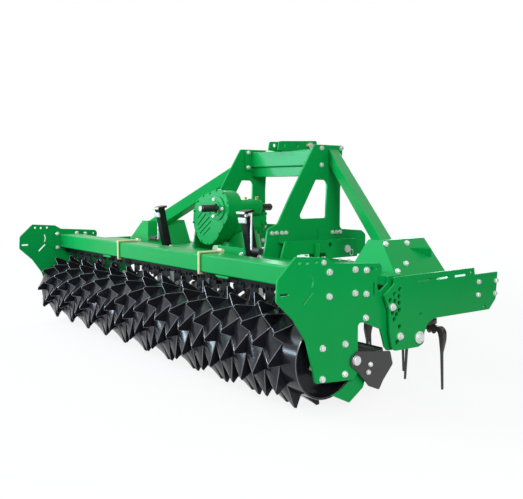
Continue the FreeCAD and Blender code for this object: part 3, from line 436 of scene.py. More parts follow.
green = finish_of("Green enamel", GREEN, GREEN_DEEP, 0.30, patch=2.2, grain=260, relief=0.035, coat=0.03,
                  specular=0.14, gloss_tint=GREEN_GLOSS)
zinc = finish_of("Zinc plate", (0.90, 0.93, 0.91), (0.72, 0.76, 0.75), 0.36, patch=60, grain=900, relief=0.05,
                 metal=0.45)
hex_head = hex_heads()
# thread size: across flats, head height, washer diameter and washer thickness, in millimetres
THREADS = {8: (13, 5.5, 16, 1.6), 10: (17, 6.4, 20, 2), 12: (19, 7.5, 24, 2.5), 14: (22, 8.8, 27, 2.5),
           16: (24, 10, 30, 3)}


def bolts(name, body, thread, facing, places, finish=zinc, slot="zinc", thread_out=0.4):
    """Hex heads, or nuts where thread_out shows the end of the bolt, facing one way."""
    flats, height, washer, thin = [size / M for size in THREADS[thread]]
    made_by(hex_head, name, body, finish, slot, places, Across_flats=flats, Height=height, Washer=washer,
            Washer_thickness=thin, Thread=thread_out / M, Facing=Vector(facing),
            Seed=sum(ord(letter) for letter in name))


dressed("trough", green)
LID_BOLTS, LID_PITCH, LID_LINE = 38, 79, 226
PLATES_X, PLATE_CLEAR = (395, 492), 24      # no bolt stands under the headstock's plates
lid_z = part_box("trough")[1].z * M
lid_places = []
for way in (-1, 1):
    for i in range(LID_BOLTS):
        x = (i - (LID_BOLTS - 1) / 2) * LID_PITCH
        if all(abs(abs(x) - plate_x) > PLATE_CLEAR for plate_x in PLATES_X):
            lid_places.append(here(x, way * LID_LINE, lid_z))
bolts("trough_lid_bolts", "frame", 10, (0, 0, 1), lid_places)


# ---- Rotors
# Each rotor is a forged head on its gear's shaft with two tines bolted up under it. The tines are
# forged spring steel, dipped in black paint.
forged_black = finish_of("Forged black", (0.016, 0.014, 0.013), (0.035, 0.03, 0.027), 0.42, patch=18,
                         grain=170, relief=0.35, coat=0.15)
ROTORS = 12
TIP_DEEP = 2            # height of the tine's tip, which gives the way that the tine points
TINE_BOLTS = (34, 62)   # from the rotor's axis
SHANK_UNDER = 26        # underside of the tines' shanks, below the head
for i in range(ROTORS):
    number = "%02d" % (i + 1)
    dressed("rotor_head_" + number, forged_black, 0.0015)
    dressed("tines_" + number, forged_black, 0.0022)
    axis = middle_of("rotor_head_" + number)
    shank_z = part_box("rotor_head_" + number)[0].z - SHANK_UNDER / M
    points = [v.co for v in frame["nodes"]["tines_" + number].data.vertices]
    lowest = min(p.z for p in points)
    tip = next(p for p in points if p.z < lowest + TIP_DEEP / M)
    heading = math.atan2(tip.y - axis.y, tip.x - axis.x)
    places = []
    for turn in (heading, heading + math.pi):
        for reach in TINE_BOLTS:
            out = Vector((math.cos(turn), math.sin(turn), 0)) * (reach / M)
            places.append(Vector((axis.x, axis.y, shank_z)) + out)
    bolts("tine_bolts_" + number, "rotor_" + number, 14, (0, 0, -1), places, forged_black, "steel_dark", 4)


# ---- End plates and front angles
# A thick profiled plate closes each end of the trough. The roller arm's pivot pin and stop pins go
# through it, and four bolts hold the angle at its front corner.
SIDES = (("right", 1), ("left", -1))
CLEAT_LEG = 8.0         # thickness of the front angle's leg
plate_low, plate_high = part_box("end_plate_right")
end_face, end_inner = plate_high.x * M, plate_low.x * M
hub = middle_of("hub_pins")
hub_y, hub_z = ahead(hub), hub.z * M
nose_y = ahead(plate_high)
for side, way in SIDES:
    dressed("end_plate_" + side, green)
dressed("front_cleats", green)
dressed("stop_pins", zinc, 0.001)
dressed("hub_pins", zinc, 0.002)
cleat_bolts = [(nose_y - 169, 520), (nose_y - 171, 452), (nose_y - 14, 514), (nose_y - 20, 446)]
stops = [(hub_y - 195, hub_z + 168), (hub_y - 140, hub_z + 24)]
stop_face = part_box("stop_pins")[1].x * M


def across(way, x, places):
    """Places on one side of the machine, at x from its middle, from pairs of Y and Z."""
    return [here(way * x, y, z) for y, z in places]


for side, way in SIDES:
    bolts("end_bolts_" + side, "frame", 14, (way, 0, 0), across(way, end_face, cleat_bolts))
    bolts("end_nuts_" + side, "frame", 14, (-way, 0, 0), across(way, end_inner - CLEAT_LEG, cleat_bolts),
          thread_out=5)
    bolts("stop_heads_" + side, "frame", 14, (way, 0, 0), across(way, stop_face, stops))


def closed(shape, name):
    """The mesh of a closed shape, with its faces turned outwards."""
    bmesh.ops.recalc_face_normals(shape, faces=shape.faces)
    return mesh_of(shape, name)


def turned(name, body, finish, profile, place, facing, steps=28, edge=0.0):
    """Piece turned about an axis: profile lists height and radius along facing, from place."""
    shape = bmesh.new()
    turn = Vector(facing).to_track_quat("Z", "Y").to_matrix()
    rings = []
    for height, radius in profile:
        ring = []
        for i in range(steps if radius else 1):
            a = 2 * math.pi * i / steps
            spot = Vector((radius * math.cos(a), radius * math.sin(a), height)) / M
            ring.append(shape.verts.new(Vector(place) + turn @ spot))
        rings.append(ring)
    for lower, upper in zip(rings, rings[1:]):
        for i in range(steps):
            j = (i + 1) % steps
            corners = [lower[i % len(lower)], lower[j % len(lower)],
                       upper[j % len(upper)], upper[i % len(upper)]]
            shape.faces.new(list(dict.fromkeys(corners)))
    mesh = closed(shape, name)
    fitted(name, softened(mesh, edge) if edge else mesh, body, finish)


HUB_CAP_BACK = 12       # from the pin's outer end in to the back of its cap
hub_cap_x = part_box("hub_pins")[1].x * M - HUB_CAP_BACK
for side, way in SIDES:
    turned("hub_cap_" + side, "frame", zinc,
           [(0, 0), (0, 24), (4, 24), (5, 21), (11.5, 14), (11.5, 0)], here(way * hub_cap_x, hub_y, hub_z),
           (way, 0, 0), edge=0.0008)


# ---- Rear rail
# A square tube runs along the rear flange of the trough, between two plates that steady the roller
# arms. The jacks of the levelling board are bolted to it.
dressed("rear_rail", green, fold=0.005)


# ---- Headstock
# Two leaning plates with a window carry the hitch. An outer plate beside each holds the pin of the
# tractor's lower arm, tied in by angles that are bolted through the headstock plate.
head_low, head_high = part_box("headstock_plate_right")
head_face, head_back = head_high.x * M, head_low.x * M
deck = head_low.z * M
for side, way in SIDES:
    dressed("headstock_plate_" + side, green)
dressed("link_plates", green)
dressed("hitch_pins", zinc, 0.0012)
# each bolt's Y, its height above the trough's lid, and the thickness of the angle under its head
angle_row = [(-167, 170, 0), (-130, 170, 0), (-95, 170, 8), (-62, 170, 8), (331, 157, 8), (366, 157, 8),
             (400, 157, 8)]
for side, way in SIDES:
    bolts("angle_bolts_" + side, "frame", 14, (way, 0, 0),
          [here(way * (head_face + leg), y, deck + z) for y, z, leg in angle_row])
    bolts("angle_nuts_" + side, "frame", 14, (-way, 0, 0),
          [here(way * head_back, y, deck + z) for y, z, leg in angle_row], thread_out=5)


# ---- Welds
# Fillet welds tie the plates and the struts to the trough. Each bead is a row of overlapping ripples
# along the joint, painted over with the rest.
RIPPLE_DEPTH = 0.22     # of the bead's own size
UNEVEN = (0.8, 0.98)    # least and most of the bead's size between its ripples
BEAD_LIFT = 1           # the bead's middle lies this far above the lid


def swept(tree, given, path, profile, smooth=True, **more):
    """Close a tree with its profile swept along its path."""
    solid = step(tree, "GeometryNodeCurveToMesh", {
        "Curve": path.outputs[0], "Profile Curve": profile.outputs[0], "Fill Caps": True, **more})
    if smooth:
        solid = step(tree, "GeometryNodeSetShadeSmooth", {"Geometry": solid.outputs[0], "Shade Smooth": True})
    ends_in(tree, given, solid.outputs[0])
    return tree


def weld_bead():
    """Rippled bead along the edges that are given."""
    tree, given = recipe("Weld bead", [
        ("Leg", "Float", 0.005), ("Ripple", "Float", 0.006), ("Seed", "Int", 1)])
    path = step(tree, "GeometryNodeMeshToCurve", {"Mesh": given["Geometry"]})
    half = calc(tree, "MULTIPLY", given["Ripple"], 0.5)
    spaced = step(tree, "GeometryNodeResampleCurve", {"Curve": path.outputs[0], "Length": half},
                  mode="LENGTH")
    index = step(tree, "GeometryNodeInputIndex", {}).outputs[0]
    wave = calc(tree, "MULTIPLY", calc(tree, "MODULO", index, 2.0), RIPPLE_DEPTH)
    uneven = step(tree, "FunctionNodeRandomValue", {
        "Min": UNEVEN[0], "Max": UNEVEN[1], "Seed": given["Seed"]}, data_type="FLOAT")
    size = calc(tree, "ADD", wave, socket_of(uneven.outputs, "Value"))
    ring = step(tree, "GeometryNodeCurvePrimitiveCircle", {"Resolution": 8, "Radius": given["Leg"]},
                mode="RADIUS")
    return swept(tree, given, spaced, ring, Scale=size)


bead_tree = weld_bead()


def welds(name, body, runs, leg):
    """Beads along runs, each a list of places."""
    points, edges = [], []
    for run in runs:
        edges += [(len(points) + i, len(points) + i + 1) for i in range(len(run) - 1)]
        points += run
    made_by(bead_tree, name, body, green, "paint_green", points, edges, Leg=leg / M, Ripple=0.007,
            Seed=len(points))


plate_runs = ((ahead(head_low) + 4, -80), (160, 245))     # each side of the low window in the plate
link_run = (-174, -64)
link_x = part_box("link_plates")[1].x * M
runs = []
for way in (-1, 1):
    for x, ends in [(x, ends) for x in (head_back, head_face) for ends in plate_runs] + [(link_x, link_run)]:
        runs.append([here(way * x, y, deck + BEAD_LIFT) for y in ends])
welds("deck_welds", "frame", runs, 6)


# ---- Cross tube and top link ears
# A rectangular tube with a flange at each end is bolted between the tops of the headstock plates.
# Two drilled ears on it take the tractor's top link, whose pin is held by a sprung clip.
dressed("cross_tube", green, fold=0.006)
dressed("top_link_bracket", green)
tube_low, tube_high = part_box("cross_tube")
flange_rear, flange_front = ahead(tube_low), ahead(tube_high)
flange_top = tube_high.z * M
FLANGE_T = 12.0
tube_bolts = [(flange_rear + 24, flange_top - 18), (flange_rear + 24, flange_top - 124),
              (flange_front - 13, flange_top - 14), (flange_front - 22, flange_top - 124)]
for side, way in SIDES:
    bolts("tube_bolts_" + side, "frame", 16, (way, 0, 0), across(way, head_face, tube_bolts))
    bolts("tube_nuts_" + side, "frame", 16, (-way, 0, 0), across(way, head_back - FLANGE_T, tube_bolts),
          thread_out=6)
TUBE_TOP, EAR_T = 1254.0, 12.0
ear_low, ear_high = [corner.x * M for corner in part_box("top_link_bracket")]
runs = []
for x in (ear_low, ear_low + EAR_T, ear_high - EAR_T, ear_high):
    runs.append([here(x, flange_rear + y, TUBE_TOP + BEAD_LIFT) for y in (50, 172)])
welds("ear_welds", "frame", runs, 4)


def bent_bar():
    """Round bar along the edges that are given, with its corners bent to a radius."""
    tree, given = recipe("Bent bar", [("Thickness", "Float", 0.006), ("Bend", "Float", 0.01)])
    path = step(tree, "GeometryNodeMeshToCurve", {"Mesh": given["Geometry"]})
    bent = step(tree, "GeometryNodeFilletCurve", {
        "Curve": path.outputs[0], "Count": 5, "Radius": given["Bend"], "Limit Radius": True}, mode="POLY")
    half = calc(tree, "MULTIPLY", given["Thickness"], 0.5)
    ring = step(tree, "GeometryNodeCurvePrimitiveCircle", {"Resolution": 10, "Radius": half},
                mode="RADIUS")
    return swept(tree, given, bent, ring)


bar_tree = bent_bar()
yellow_zinc = finish_of("Yellow zinc plate", (0.78, 0.76, 0.44), (0.66, 0.66, 0.38), 0.38, patch=40,
                        grain=700, relief=0.05, metal=0.35)


def bars(name, body, finish, slot, paths, thickness, bend):
    """Bent bars along paths of places. A path that ends where it began is closed."""
    points, edges = [], []
    for path in paths:
        closed_path = (path[0] - path[-1]).length < TOUCHING
        spots = path[:-1] if closed_path else path
        first = len(points)
        edges += [(first + i, first + i + 1) for i in range(len(spots) - 1)]
        if closed_path:
            edges.append((first + len(spots) - 1, first))
        points += spots
    made_by(bar_tree, name, body, finish, slot, points, edges, Thickness=thickness / M, Bend=bend / M)


def on_circle(radius, degrees):
    """Pairs of distances from a circle's middle, one for each angle."""
    return [(radius * math.cos(math.radians(a)), radius * math.sin(math.radians(a))) for a in degrees]


def ring_about(centre, radius, normal):
    """Places all the way round a ring, whose first and last are the same."""
    turn = Vector(normal).to_track_quat("Z", "Y").to_matrix()
    return [centre + turn @ Vector((a, b, 0)) / M for a, b in on_circle(radius, range(0, 375, 15))]


TOP_PIN_Y, TOP_PIN_Z = 455.0, 1290.0
LINK_PIN_Y, LINK_PIN_Z = 378.0, 612.0
PIN_OUT = 22            # the clip hangs this far outside the ear
COIL_R, COIL_TURNS, COIL_RISE = 9, 4, 0.7       # the rise is that from one point to the next
coil = on_circle(COIL_R, range(0, 360 * COIL_TURNS + 30, 30))
clip = [here(ear_high + PIN_OUT + a, TOP_PIN_Y - 22 - i * COIL_RISE, TOP_PIN_Z + 2 + b)
        for i, (a, b) in enumerate(coil)]
bars("top_pin_spring", "frame", yellow_zinc, "yellow_zinc", [clip], 3.0, 0.5)
bars("top_pin_ring", "frame", zinc, "zinc",
     [ring_about(here(ear_high + PIN_OUT, TOP_PIN_Y - 20, TOP_PIN_Z), 21, (1, 0.3, 0.2))], 3.4, 0.1)
rings = [ring_about(here(way * (link_x + 13), LINK_PIN_Y, LINK_PIN_Z - 20), 19, (1, 0.2 * way, 0))
         for way in (-1, 1)]
bars("link_pin_rings", "frame", zinc, "zinc", rings, 3.4, 0.1)


# ---- Struts
# A square tube runs from the top of each headstock plate down to a box foot on the trough's lid. The
# foot has sloping sides, bolts through its outer face and a small folded lug.
for side, way in SIDES:
    dressed("strut_" + side, green, fold=0.007)
    dressed("strut_foot_" + side, green, 0.003)
foot_low, foot_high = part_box("strut_foot_right")
foot_deck, foot_out = foot_low.z * M, foot_high.x * M
foot_rise = foot_high.z * M - foot_deck
FOOT_SLOPE = 156.0      # how far the outer face leans in over its height
LUG_RISE = 42.0         # height of the folded lug above the face
face_normal = Vector((foot_rise, 0, FOOT_SLOPE)).normalized()


def on_foot(way, y, z):
    """A place on the sloping outer face of a foot."""
    return here(way * (foot_out - (z - foot_deck) * FOOT_SLOPE / foot_rise), y, z)


foot_bolts = [(-136, 719), (24, 716), (-76, 622), (-168, 592)]
lug_base = [(20, 694), (148, 640), (120, 690)]
lug_crest = [(128, 660), (124, 676)]
for side, way in SIDES:
    facing = Vector((way * face_normal.x, 0, face_normal.z))
    bolts("foot_bolts_" + side, "frame", 16, facing, [on_foot(way, y, z) for y, z in foot_bolts])
    lug = bmesh.new()
    corners = [lug.verts.new(on_foot(way, y, z)) for y, z in lug_base]
    corners += [lug.verts.new(on_foot(way, y, z) + facing * (LUG_RISE / M)) for y, z in lug_crest]
    for face in ((0, 1, 3), (0, 3, 4), (0, 4, 2), (1, 2, 4, 3), (0, 2, 1)):
        lug.faces.new([corners[i] for i in face])
    fitted("foot_lug_" + side, softened(closed(lug, "lug"), 0.0012), "frame", green)
foot_rear, foot_front = ahead(foot_low), ahead(foot_high)
weld_path = [(foot_low.x * M, foot_rear), (foot_out, foot_rear), (foot_out, foot_front)]
welds("foot_welds", "frame", [[here(way * x, y, foot_deck) for x, y in weld_path] for way in (-1, 1)], 5)


# ---- Gearbox
# A cast housing stands on the trough and takes the drive in through a splined shaft. Its rear cover
# over the change gears is bolted all round, with slots cast in it, and a bearing cap on the shaft.
cover_y = ahead(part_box("gearbox_cover")[0])
shaft_z = middle_of("pto_shaft").z * M
PINION_X, PINION_Z = -131.0, 795.0
UPPER_R, LOWER_R = 120.0, 165.0     # of the cover, round the shaft and round the pinion
SLOT_DEEP, SLOT_HALF = 7, 3.4
cast_green = finish_of("Green enamel on casting", GREEN, GREEN_DEEP, 0.34, patch=5, grain=190, relief=0.16,
                       coat=0.03, specular=0.14, gloss_tint=GREEN_GLOSS)


def add_prism(shape, outline, rear, front):
    """Add to a shape the solid that an outline in X and Z sweeps from rear to front."""
    near, far = [[shape.verts.new(here(x, y, z)) for x, z in outline] for y in (rear, front)]
    shape.faces.new(near)
    shape.faces.new(far[::-1])
    for i in range(len(outline)):
        shape.faces.new((near[i - 1], far[i - 1], far[i], near[i]))


def slots_cut(mesh, slots):
    """The cover's mesh with round-ended slots cut into its rear face, each between two points in X and Z."""
    cutter = bmesh.new()
    for x0, z0, x1, z1 in slots:
        along = math.degrees(math.atan2(z1 - z0, x1 - x0))
        outline = []
        for x, z, start in ((x1, z1, along - 90), (x0, z0, along + 90)):
            outline += [(x + a, z + b) for a, b in on_circle(SLOT_HALF, [start + 30 * k for k in range(7)])]
        add_prism(cutter, outline, cover_y - 3, cover_y + SLOT_DEEP)
    tool = placed("slots", closed(cutter, "slots"))
    whole = mesh_of(joined_up(mesh), "whole")
    cut = worked(whole, ("BOOLEAN", {"operation": "DIFFERENCE", "object": tool, "solver": "EXACT"}))
    bpy.data.objects.remove(tool)
    return cut


cover_slots = [(-237, 802, -178, 850), (-237, 756, -118, 850), (-232, 724, -100, 812), (-214, 700, -84, 785),
               (-172, 690, -92, 745)]
cover = slots_cut(frame["nodes"]["gearbox_cover"].data, cover_slots)
fitted("gearbox_cover_finished", softened(cover, 0.0016), "frame", cast_green,
       ["gearbox_cover"])
dressed("gearbox_housing", cast_green, 0.004)
RIM_INSET, RIM_SPACING = 6.5, 78
ARC_STEPS = 60


def rim_places():
    """Places in X and Z along the cover's rim, inset from it and about evenly spaced."""
    big, small = LOWER_R - RIM_INSET, UPPER_R - RIM_INSET
    span = math.hypot(-PINION_X, shaft_z - PINION_Z)
    along = math.degrees(math.atan2(shaft_z - PINION_Z, -PINION_X))
    spread = math.degrees(math.acos((big - small) / span))
    big_arc = [along + spread + (360 - 2 * spread) * k / ARC_STEPS for k in range(ARC_STEPS + 1)]
    small_arc = [along - spread + 2 * spread * k / ARC_STEPS for k in range(ARC_STEPS + 1)]
    line = [(PINION_X + a, PINION_Z + b) for a, b in on_circle(big, big_arc)]
    line += [(a, shaft_z + b) for a, b in on_circle(small, small_arc)]
    line.append(line[0])
    lengths = [math.dist(a, b) for a, b in zip(line, line[1:])]
    count = round(sum(lengths) / RIM_SPACING)
    spots, run, want = [], 0.0, 0.0
    for (a, b), length in zip(zip(line, line[1:]), lengths):
        while want < run + length and len(spots) < count:
            t = (want - run) / length
            spots.append((a[0] + (b[0] - a[0]) * t, a[1] + (b[1] - a[1]) * t))
            want += sum(lengths) / count
        run += length
    return spots


bolts("cover_rim_bolts", "frame", 8, (0, -1, 0), [here(x, cover_y, z) for x, z in rim_places()], cast_green,
      "paint_green")
turned("shaft_bearing_cap", "frame", cast_green,
       [(-1, 30), (-1, 76), (7, 76), (8.5, 74), (9, 46), (15, 44), (16, 41), (16, 30), (-1, 30)],
       here(0, cover_y, shaft_z), (0, -1, 0), 40, 0.001)
CAP_BOLTS_R, CAP_DEEP = 62, 9
cap_places = [here(a, cover_y - CAP_DEEP, shaft_z + b)
              for a, b in on_circle(CAP_BOLTS_R, (117, -3, 237))]
bolts("bearing_cap_bolts", "frame", 12, (0, -1, 0), cap_places)
turned("pinion_boss", "frame", cast_green, [(-1, 0), (-1, 34), (3, 33), (4, 30), (4, 0)],
       here(PINION_X + 20, cover_y, PINION_Z + 65), (0, -1, 0), 32, 0.0008)
BEVEL_BOLTS_R, BASE_BOLTS_R = 125, 153
FLANGE_Y, FLANGE_DEEP = 92, 16      # rear face and thickness of the bevel housing's flange
BASE_DEEP = 20          # thickness of the base flange on the trough
PLUGS_Y = 60            # of the oil filler and the breather
bevel_circle = on_circle(BEVEL_BOLTS_R, range(15, 375, 30))
for name, facing, y, out in (("bolts", -1, FLANGE_Y, 5), ("heads", 1, FLANGE_Y + FLANGE_DEEP, 0.4)):
    spots = [here(PINION_X + a, y, PINION_Z + b) for a, b in bevel_circle]
    bolts("bevel_flange_" + name, "frame", 12, (0, facing, 0), spots, cast_green, "paint_green", out)
base_places = [here(PINION_X + a, b, deck + BASE_DEEP)
               for a, b in on_circle(BASE_BOLTS_R, range(18, 378, 36))]
bolts("base_flange_bolts", "frame", 12, (0, 0, 1), base_places, cast_green, "paint_green", 6)
brass = finish_of("Brass", (0.62, 0.40, 0.12), (0.48, 0.30, 0.10), 0.3, patch=60, grain=800, relief=0.04,
                  metal=0.9)
for name, x, z in (("filler_plug", -169, 922), ("breather", -45, 926)):
    turned(name, "frame", brass,
           [(-10, 0), (-10, 11), (0, 11), (0, 9), (8, 9), (9, 12), (13, 12), (17, 8), (18, 0)],
           here(x, PLUGS_Y, z), (0, 0, 1), 16, 0.0006)


# ---- Drive shaft
# The through shaft is turned steel with six splines at each end. A black plastic sleeve is pushed on
# over the splines of each end to keep them clean.
FLUTE_POINTS = 8.0      # points of the outline to each spline and the flute beside it


def fluted_bar():
    """Bar along the edges that are given, with flutes cut along it."""
    tree, given = recipe("Fluted bar", [
        ("Radius", "Float", 0.017), ("Root", "Float", 0.0145), ("Flutes", "Int", 6)])
    count = calc(tree, "MULTIPLY", given["Flutes"], FLUTE_POINTS)
    ring = step(tree, "GeometryNodeMeshCircle", {"Vertices": count, "Radius": given["Radius"]})
    index = step(tree, "GeometryNodeInputIndex", {}).outputs[0]
    tooth = calc(tree, "LESS_THAN", calc(tree, "MODULO", index, FLUTE_POINTS), FLUTE_POINTS / 2)
    low = calc(tree, "DIVIDE", given["Root"], given["Radius"])
    gain = calc(tree, "MULTIPLY", tooth, calc(tree, "SUBTRACT", 1.0, low))
    scale = calc(tree, "ADD", low, gain)
    spot = step(tree, "GeometryNodeInputPosition", {}).outputs[0]
    moved = step(tree, "ShaderNodeVectorMath", {0: spot, "Scale": scale}, operation="SCALE").outputs[0]
    cut = step(tree, "GeometryNodeSetPosition", {"Geometry": ring.outputs[0], "Position": moved})
    profile = step(tree, "GeometryNodeMeshToCurve", {"Mesh": cut.outputs[0]})
    path = step(tree, "GeometryNodeMeshToCurve", {"Mesh": given["Geometry"]})
    return swept(tree, given, path, profile, smooth=False)


flute_tree = fluted_bar()
turned_steel = finish_of("Turned steel", (0.42, 0.42, 0.43), (0.30, 0.30, 0.31), 0.3, patch=90, grain=900,
                         relief=0.04, metal=0.9)
black_plastic = finish_of("Black plastic", (0.012, 0.013, 0.014), (0.02, 0.021, 0.022), 0.38, patch=12,
                          grain=420, relief=0.1)
SPLINE_R, SPLINE_ROOT = 0.01745, 0.0148
THICK_REAR, THICK_FRONT = -284.0, 50.0
SLEEVE_FROM_END = 9
shaft_low, shaft_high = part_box("pto_shaft")
thick_r = (shaft_high.z - shaft_low.z) / 2 * M
turned("drive_shaft_body", "drive_shaft", turned_steel,
       [(0, 0), (0, thick_r), (THICK_FRONT - THICK_REAR, thick_r), (THICK_FRONT - THICK_REAR, 0)],
       here(0, THICK_REAR, shaft_z), (0, 1, 0), 32, 0.0015)
# each end of the shaft: its Y, the Y where it grows thick, the way inwards, and the bare length there
shaft_ends = (("rear", ahead(shaft_low), THICK_REAR, 1, 19),
              ("front", ahead(shaft_high), THICK_FRONT, -1, 13))
for name, y0, y1, way, bare in shaft_ends:
    made_by(flute_tree, "splines_" + name, "drive_shaft", turned_steel, "steel_dark",
            [here(0, y0, shaft_z), here(0, y1, shaft_z)], [(0, 1)], ["pto_shaft"] if name == "rear" else (),
            Radius=SPLINE_R, Root=SPLINE_ROOT, Flutes=6)
    long = abs(y1 - y0) - SLEEVE_FROM_END - bare
    sleeve = [(0, 18), (0, 22.5), (2, 24), (16, 24), (17, 23), (long - 8, 23.5), (long - 7, 25), (long, 25),
              (long, 18), (0, 18)]
    turned("sleeve_" + name, "drive_shaft", black_plastic, sleeve,
           here(0, y0 + way * SLEEVE_FROM_END, shaft_z), (0, way, 0), 32, 0.0006)


# ---- Jacks
# Two screw jacks in square tube raise and lower the levelling board. Each has a black cap, a zinc-
# plated lip and collar, and a hanging crank with a rubber grip. A drilled lug on the rail is beside one.
black_enamel = finish_of("Black enamel", (0.009, 0.009, 0.011), (0.014, 0.014, 0.016), 0.30, patch=6,
                         grain=260, relief=0.04, coat=0.1, specular=0.2)
rubber = finish_of("Rubber", (0.02, 0.02, 0.021), (0.03, 0.03, 0.031), 0.55, patch=30, grain=300, relief=0.2)
dressed("jack_tubes", black_enamel, fold=0.006)
JACK_X, JACK_Y, JACK_Z = 490.0, -433.0, 874.0
JACK_LEAN = math.radians(11.4)


def on_jack(way, out, front, down):
    """A place on a jack: out from its middle, in front of it and down along it from its top."""
    y = JACK_Y + front * math.cos(JACK_LEAN) + down * math.sin(JACK_LEAN)
    z = JACK_Z + front * math.sin(JACK_LEAN) - down * math.cos(JACK_LEAN)
    return here(way * (JACK_X + out), y, z)


def jack_block(way, half_x, rear, front, top, bottom):
    """Square block on a jack's tube, from rear to front and between two depths from its top."""
    shape = bmesh.new()
    spots = [shape.verts.new(on_jack(way, x, y, s)) for s in (top, bottom)
             for x, y in ((-half_x, rear), (half_x, rear), (half_x, front), (-half_x, front))]
    for face in ((0, 1, 2, 3), (7, 6, 5, 4), (0, 4, 5, 1), (1, 5, 6, 2), (2, 6, 7, 3), (3, 7, 4, 0)):
        shape.faces.new([spots[i] for i in face])
    return closed(shape, "block")


CAP_HALF, CAP_TOP, CAP_BOTTOM = 37.8, -0.7, 13
CRANK_OUT, CRANK_AHEAD, CRANK_DOWN = 42, 9, 20      # where the crank bends down
CRANK_DROP, CRANK_END = 206, 30
jack_blocks = (("cap", 0.002, black_enamel, "paint_black", (CAP_HALF, -30, CAP_HALF, CAP_TOP, CAP_BOTTOM)),
               ("lip", 0.003, zinc, "zinc", (CAP_HALF, -CAP_HALF, -28, CAP_TOP, CAP_BOTTOM)),
               ("collar", 0.004, zinc, "zinc", (34, -36, -24, 34, 67)))
for side, way in SIDES:
    for name, edge, finish, slot, sizes in jack_blocks:
        block = softened(jack_block(way, *sizes), edge)
        fitted("jack_" + name + "_" + side, block, "frame", finish)
    facing = (way, 0, 0)
    bolts("jack_bolts_" + side, "frame", 10, facing, [on_jack(way, 25, -17, 24)])
    bend = on_jack(way, CRANK_OUT, CRANK_AHEAD, CRANK_DOWN)
    foot = bend - Vector((0, 0, CRANK_DROP / M))
    crank = [on_jack(way, 24, CRANK_AHEAD, CRANK_DOWN), bend, foot,
             foot + Vector((way * CRANK_END / M, 0, 0))]
    bars("jack_crank_" + side, "frame", zinc, "zinc", [crank], 12, 9)
    turned("jack_grip_" + side, "frame", rubber,
           [(0, 0), (0, 14), (2, 16), (18, 15.2), (22, 16.2), (40, 15.4), (44, 16.4), (60, 16), (64, 19),
            (71, 19), (74, 16), (74, 0)], foot + Vector((way * 18 / M, 0, 0)), facing, 20, 0.0008)
    turned("jack_hub_" + side, "frame", zinc, [(0, 0), (0, 15), (9, 15), (11, 13), (11, 0)],
           on_jack(way, 25, CRANK_AHEAD, CRANK_DOWN), facing, 24, 0.0008)
for side, way in SIDES:
    bolts("jack_foot_bolts_" + side, "frame", 16, (way, 0, 0), [here(way * (JACK_X + 38), -362, 604)],
          thread_out=14)
    bolts("jack_foot_nuts_" + side, "frame", 14, (-way, 0, 0), [here(way * (JACK_X - 36), -372, 600)])
dressed("jack_rods", zinc, 0.002)
LUG_X, LUG_END_X = 84, 345
LUG_Z, LUG_R = 611, 33
LUG_REAR, LUG_FRONT = -346, -334
rail_lug = bmesh.new()
lug_outline = [(LUG_X, LUG_Z - LUG_R), (LUG_END_X, LUG_Z - LUG_R)]
lug_outline += [(LUG_END_X + a, LUG_Z + b) for a, b in on_circle(LUG_R, [22.5 * k - 90 for k in range(9)])]
lug_outline.append((LUG_X, LUG_Z + LUG_R))
add_prism(rail_lug, lug_outline, LUG_REAR, LUG_FRONT)
fitted("rail_lug", softened(closed(rail_lug, "rail_lug"), 0.0016), "frame", green)
bolts("rail_lug_bolt", "frame", 16, (0, -1, 0), [here(343, LUG_REAR, 606)], thread_out=5)


# ---- Levelling board
# A folded steel board hangs on the jack rods behind the rotors and levels the soil in front of the
# roller. It is painted black.
dressed("levelling_board", black_enamel, 0.0016)


# ---- Roller arms and side plates
# One profiled plate at each end is both the roller's bearing plate and its arm. It turns on the pivot
# pin, and a doubler is bolted inside its arm.
side_low, side_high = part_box("side_plate_right")
side_face, side_back = side_high.x * M, side_low.x * M
beam_low, beam_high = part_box("crossbeam")
bearing = middle_of("bearings")
drum_y, drum_z = ahead(bearing), bearing.z * M
for side, way in SIDES:
    dressed("side_plate_" + side, green)
dressed("arm_doublers", green)
BEAM_FLANGE_T, DOUBLER_T, BEARING_FLANGE_T = 10, 8, 12
beam_rear, beam_top = ahead(beam_low) + 21, beam_high.z * M
flange_bolts = [(y, z) for y in (beam_rear, ahead(beam_high) - 16)
                for z in (beam_low.z * M + 16, beam_top - 17)]
arm_bolts = [(hub_y - 341, hub_z + 348), (hub_y - 341, hub_z + 240), (hub_y - 342, hub_z + 131)]
bearing_bolts = [(drum_y + dy, drum_z + dz) for dy in (-73, 63) for dz in (-67, 69)]
for side, way in SIDES:
    out, back = (way, 0, 0), (-way, 0, 0)
    bolts("side_bolts_" + side, "roller_frame", 16, out,
          across(way, side_face, flange_bolts + arm_bolts + bearing_bolts))
    bolts("side_nuts_" + side, "roller_frame", 16, back,
          across(way, side_back - BEAM_FLANGE_T, flange_bolts)
          + across(way, side_back - DOUBLER_T, arm_bolts), thread_out=6)
    bolts("bearing_nuts_" + side, "roller_frame", 12, back,
          across(way, side_back - BEARING_FLANGE_T, bearing_bolts), thread_out=1)
    bolts("side_small_bolt_" + side, "roller_frame", 12, out,
          [here(way * side_face, beam_rear - 33, beam_top + 27)])


# ---- Crossbeam and U-bolts
# A large rectangular tube joins the side plates. Two square U-bolts of yellow-plated rod grip it and
# hold the scraper bar under it.
dressed("crossbeam", green, fold=0.009)
dressed("u_bolts", yellow_zinc, 0.0015)
U_BOLT_X, U_BOLT_INSET, STRAP_T = 488.0, 21, 20
u_low, u_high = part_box("u_bolts")
spots = [here(way * U_BOLT_X, ahead(u_high) - STRAP_T, z) for way in (-1, 1)
         for z in (u_low.z * M + U_BOLT_INSET, u_high.z * M - U_BOLT_INSET)]
bolts("u_bolt_nuts", "roller_frame", 14, (0, 1, 0), spots, yellow_zinc, "yellow_zinc", 4)


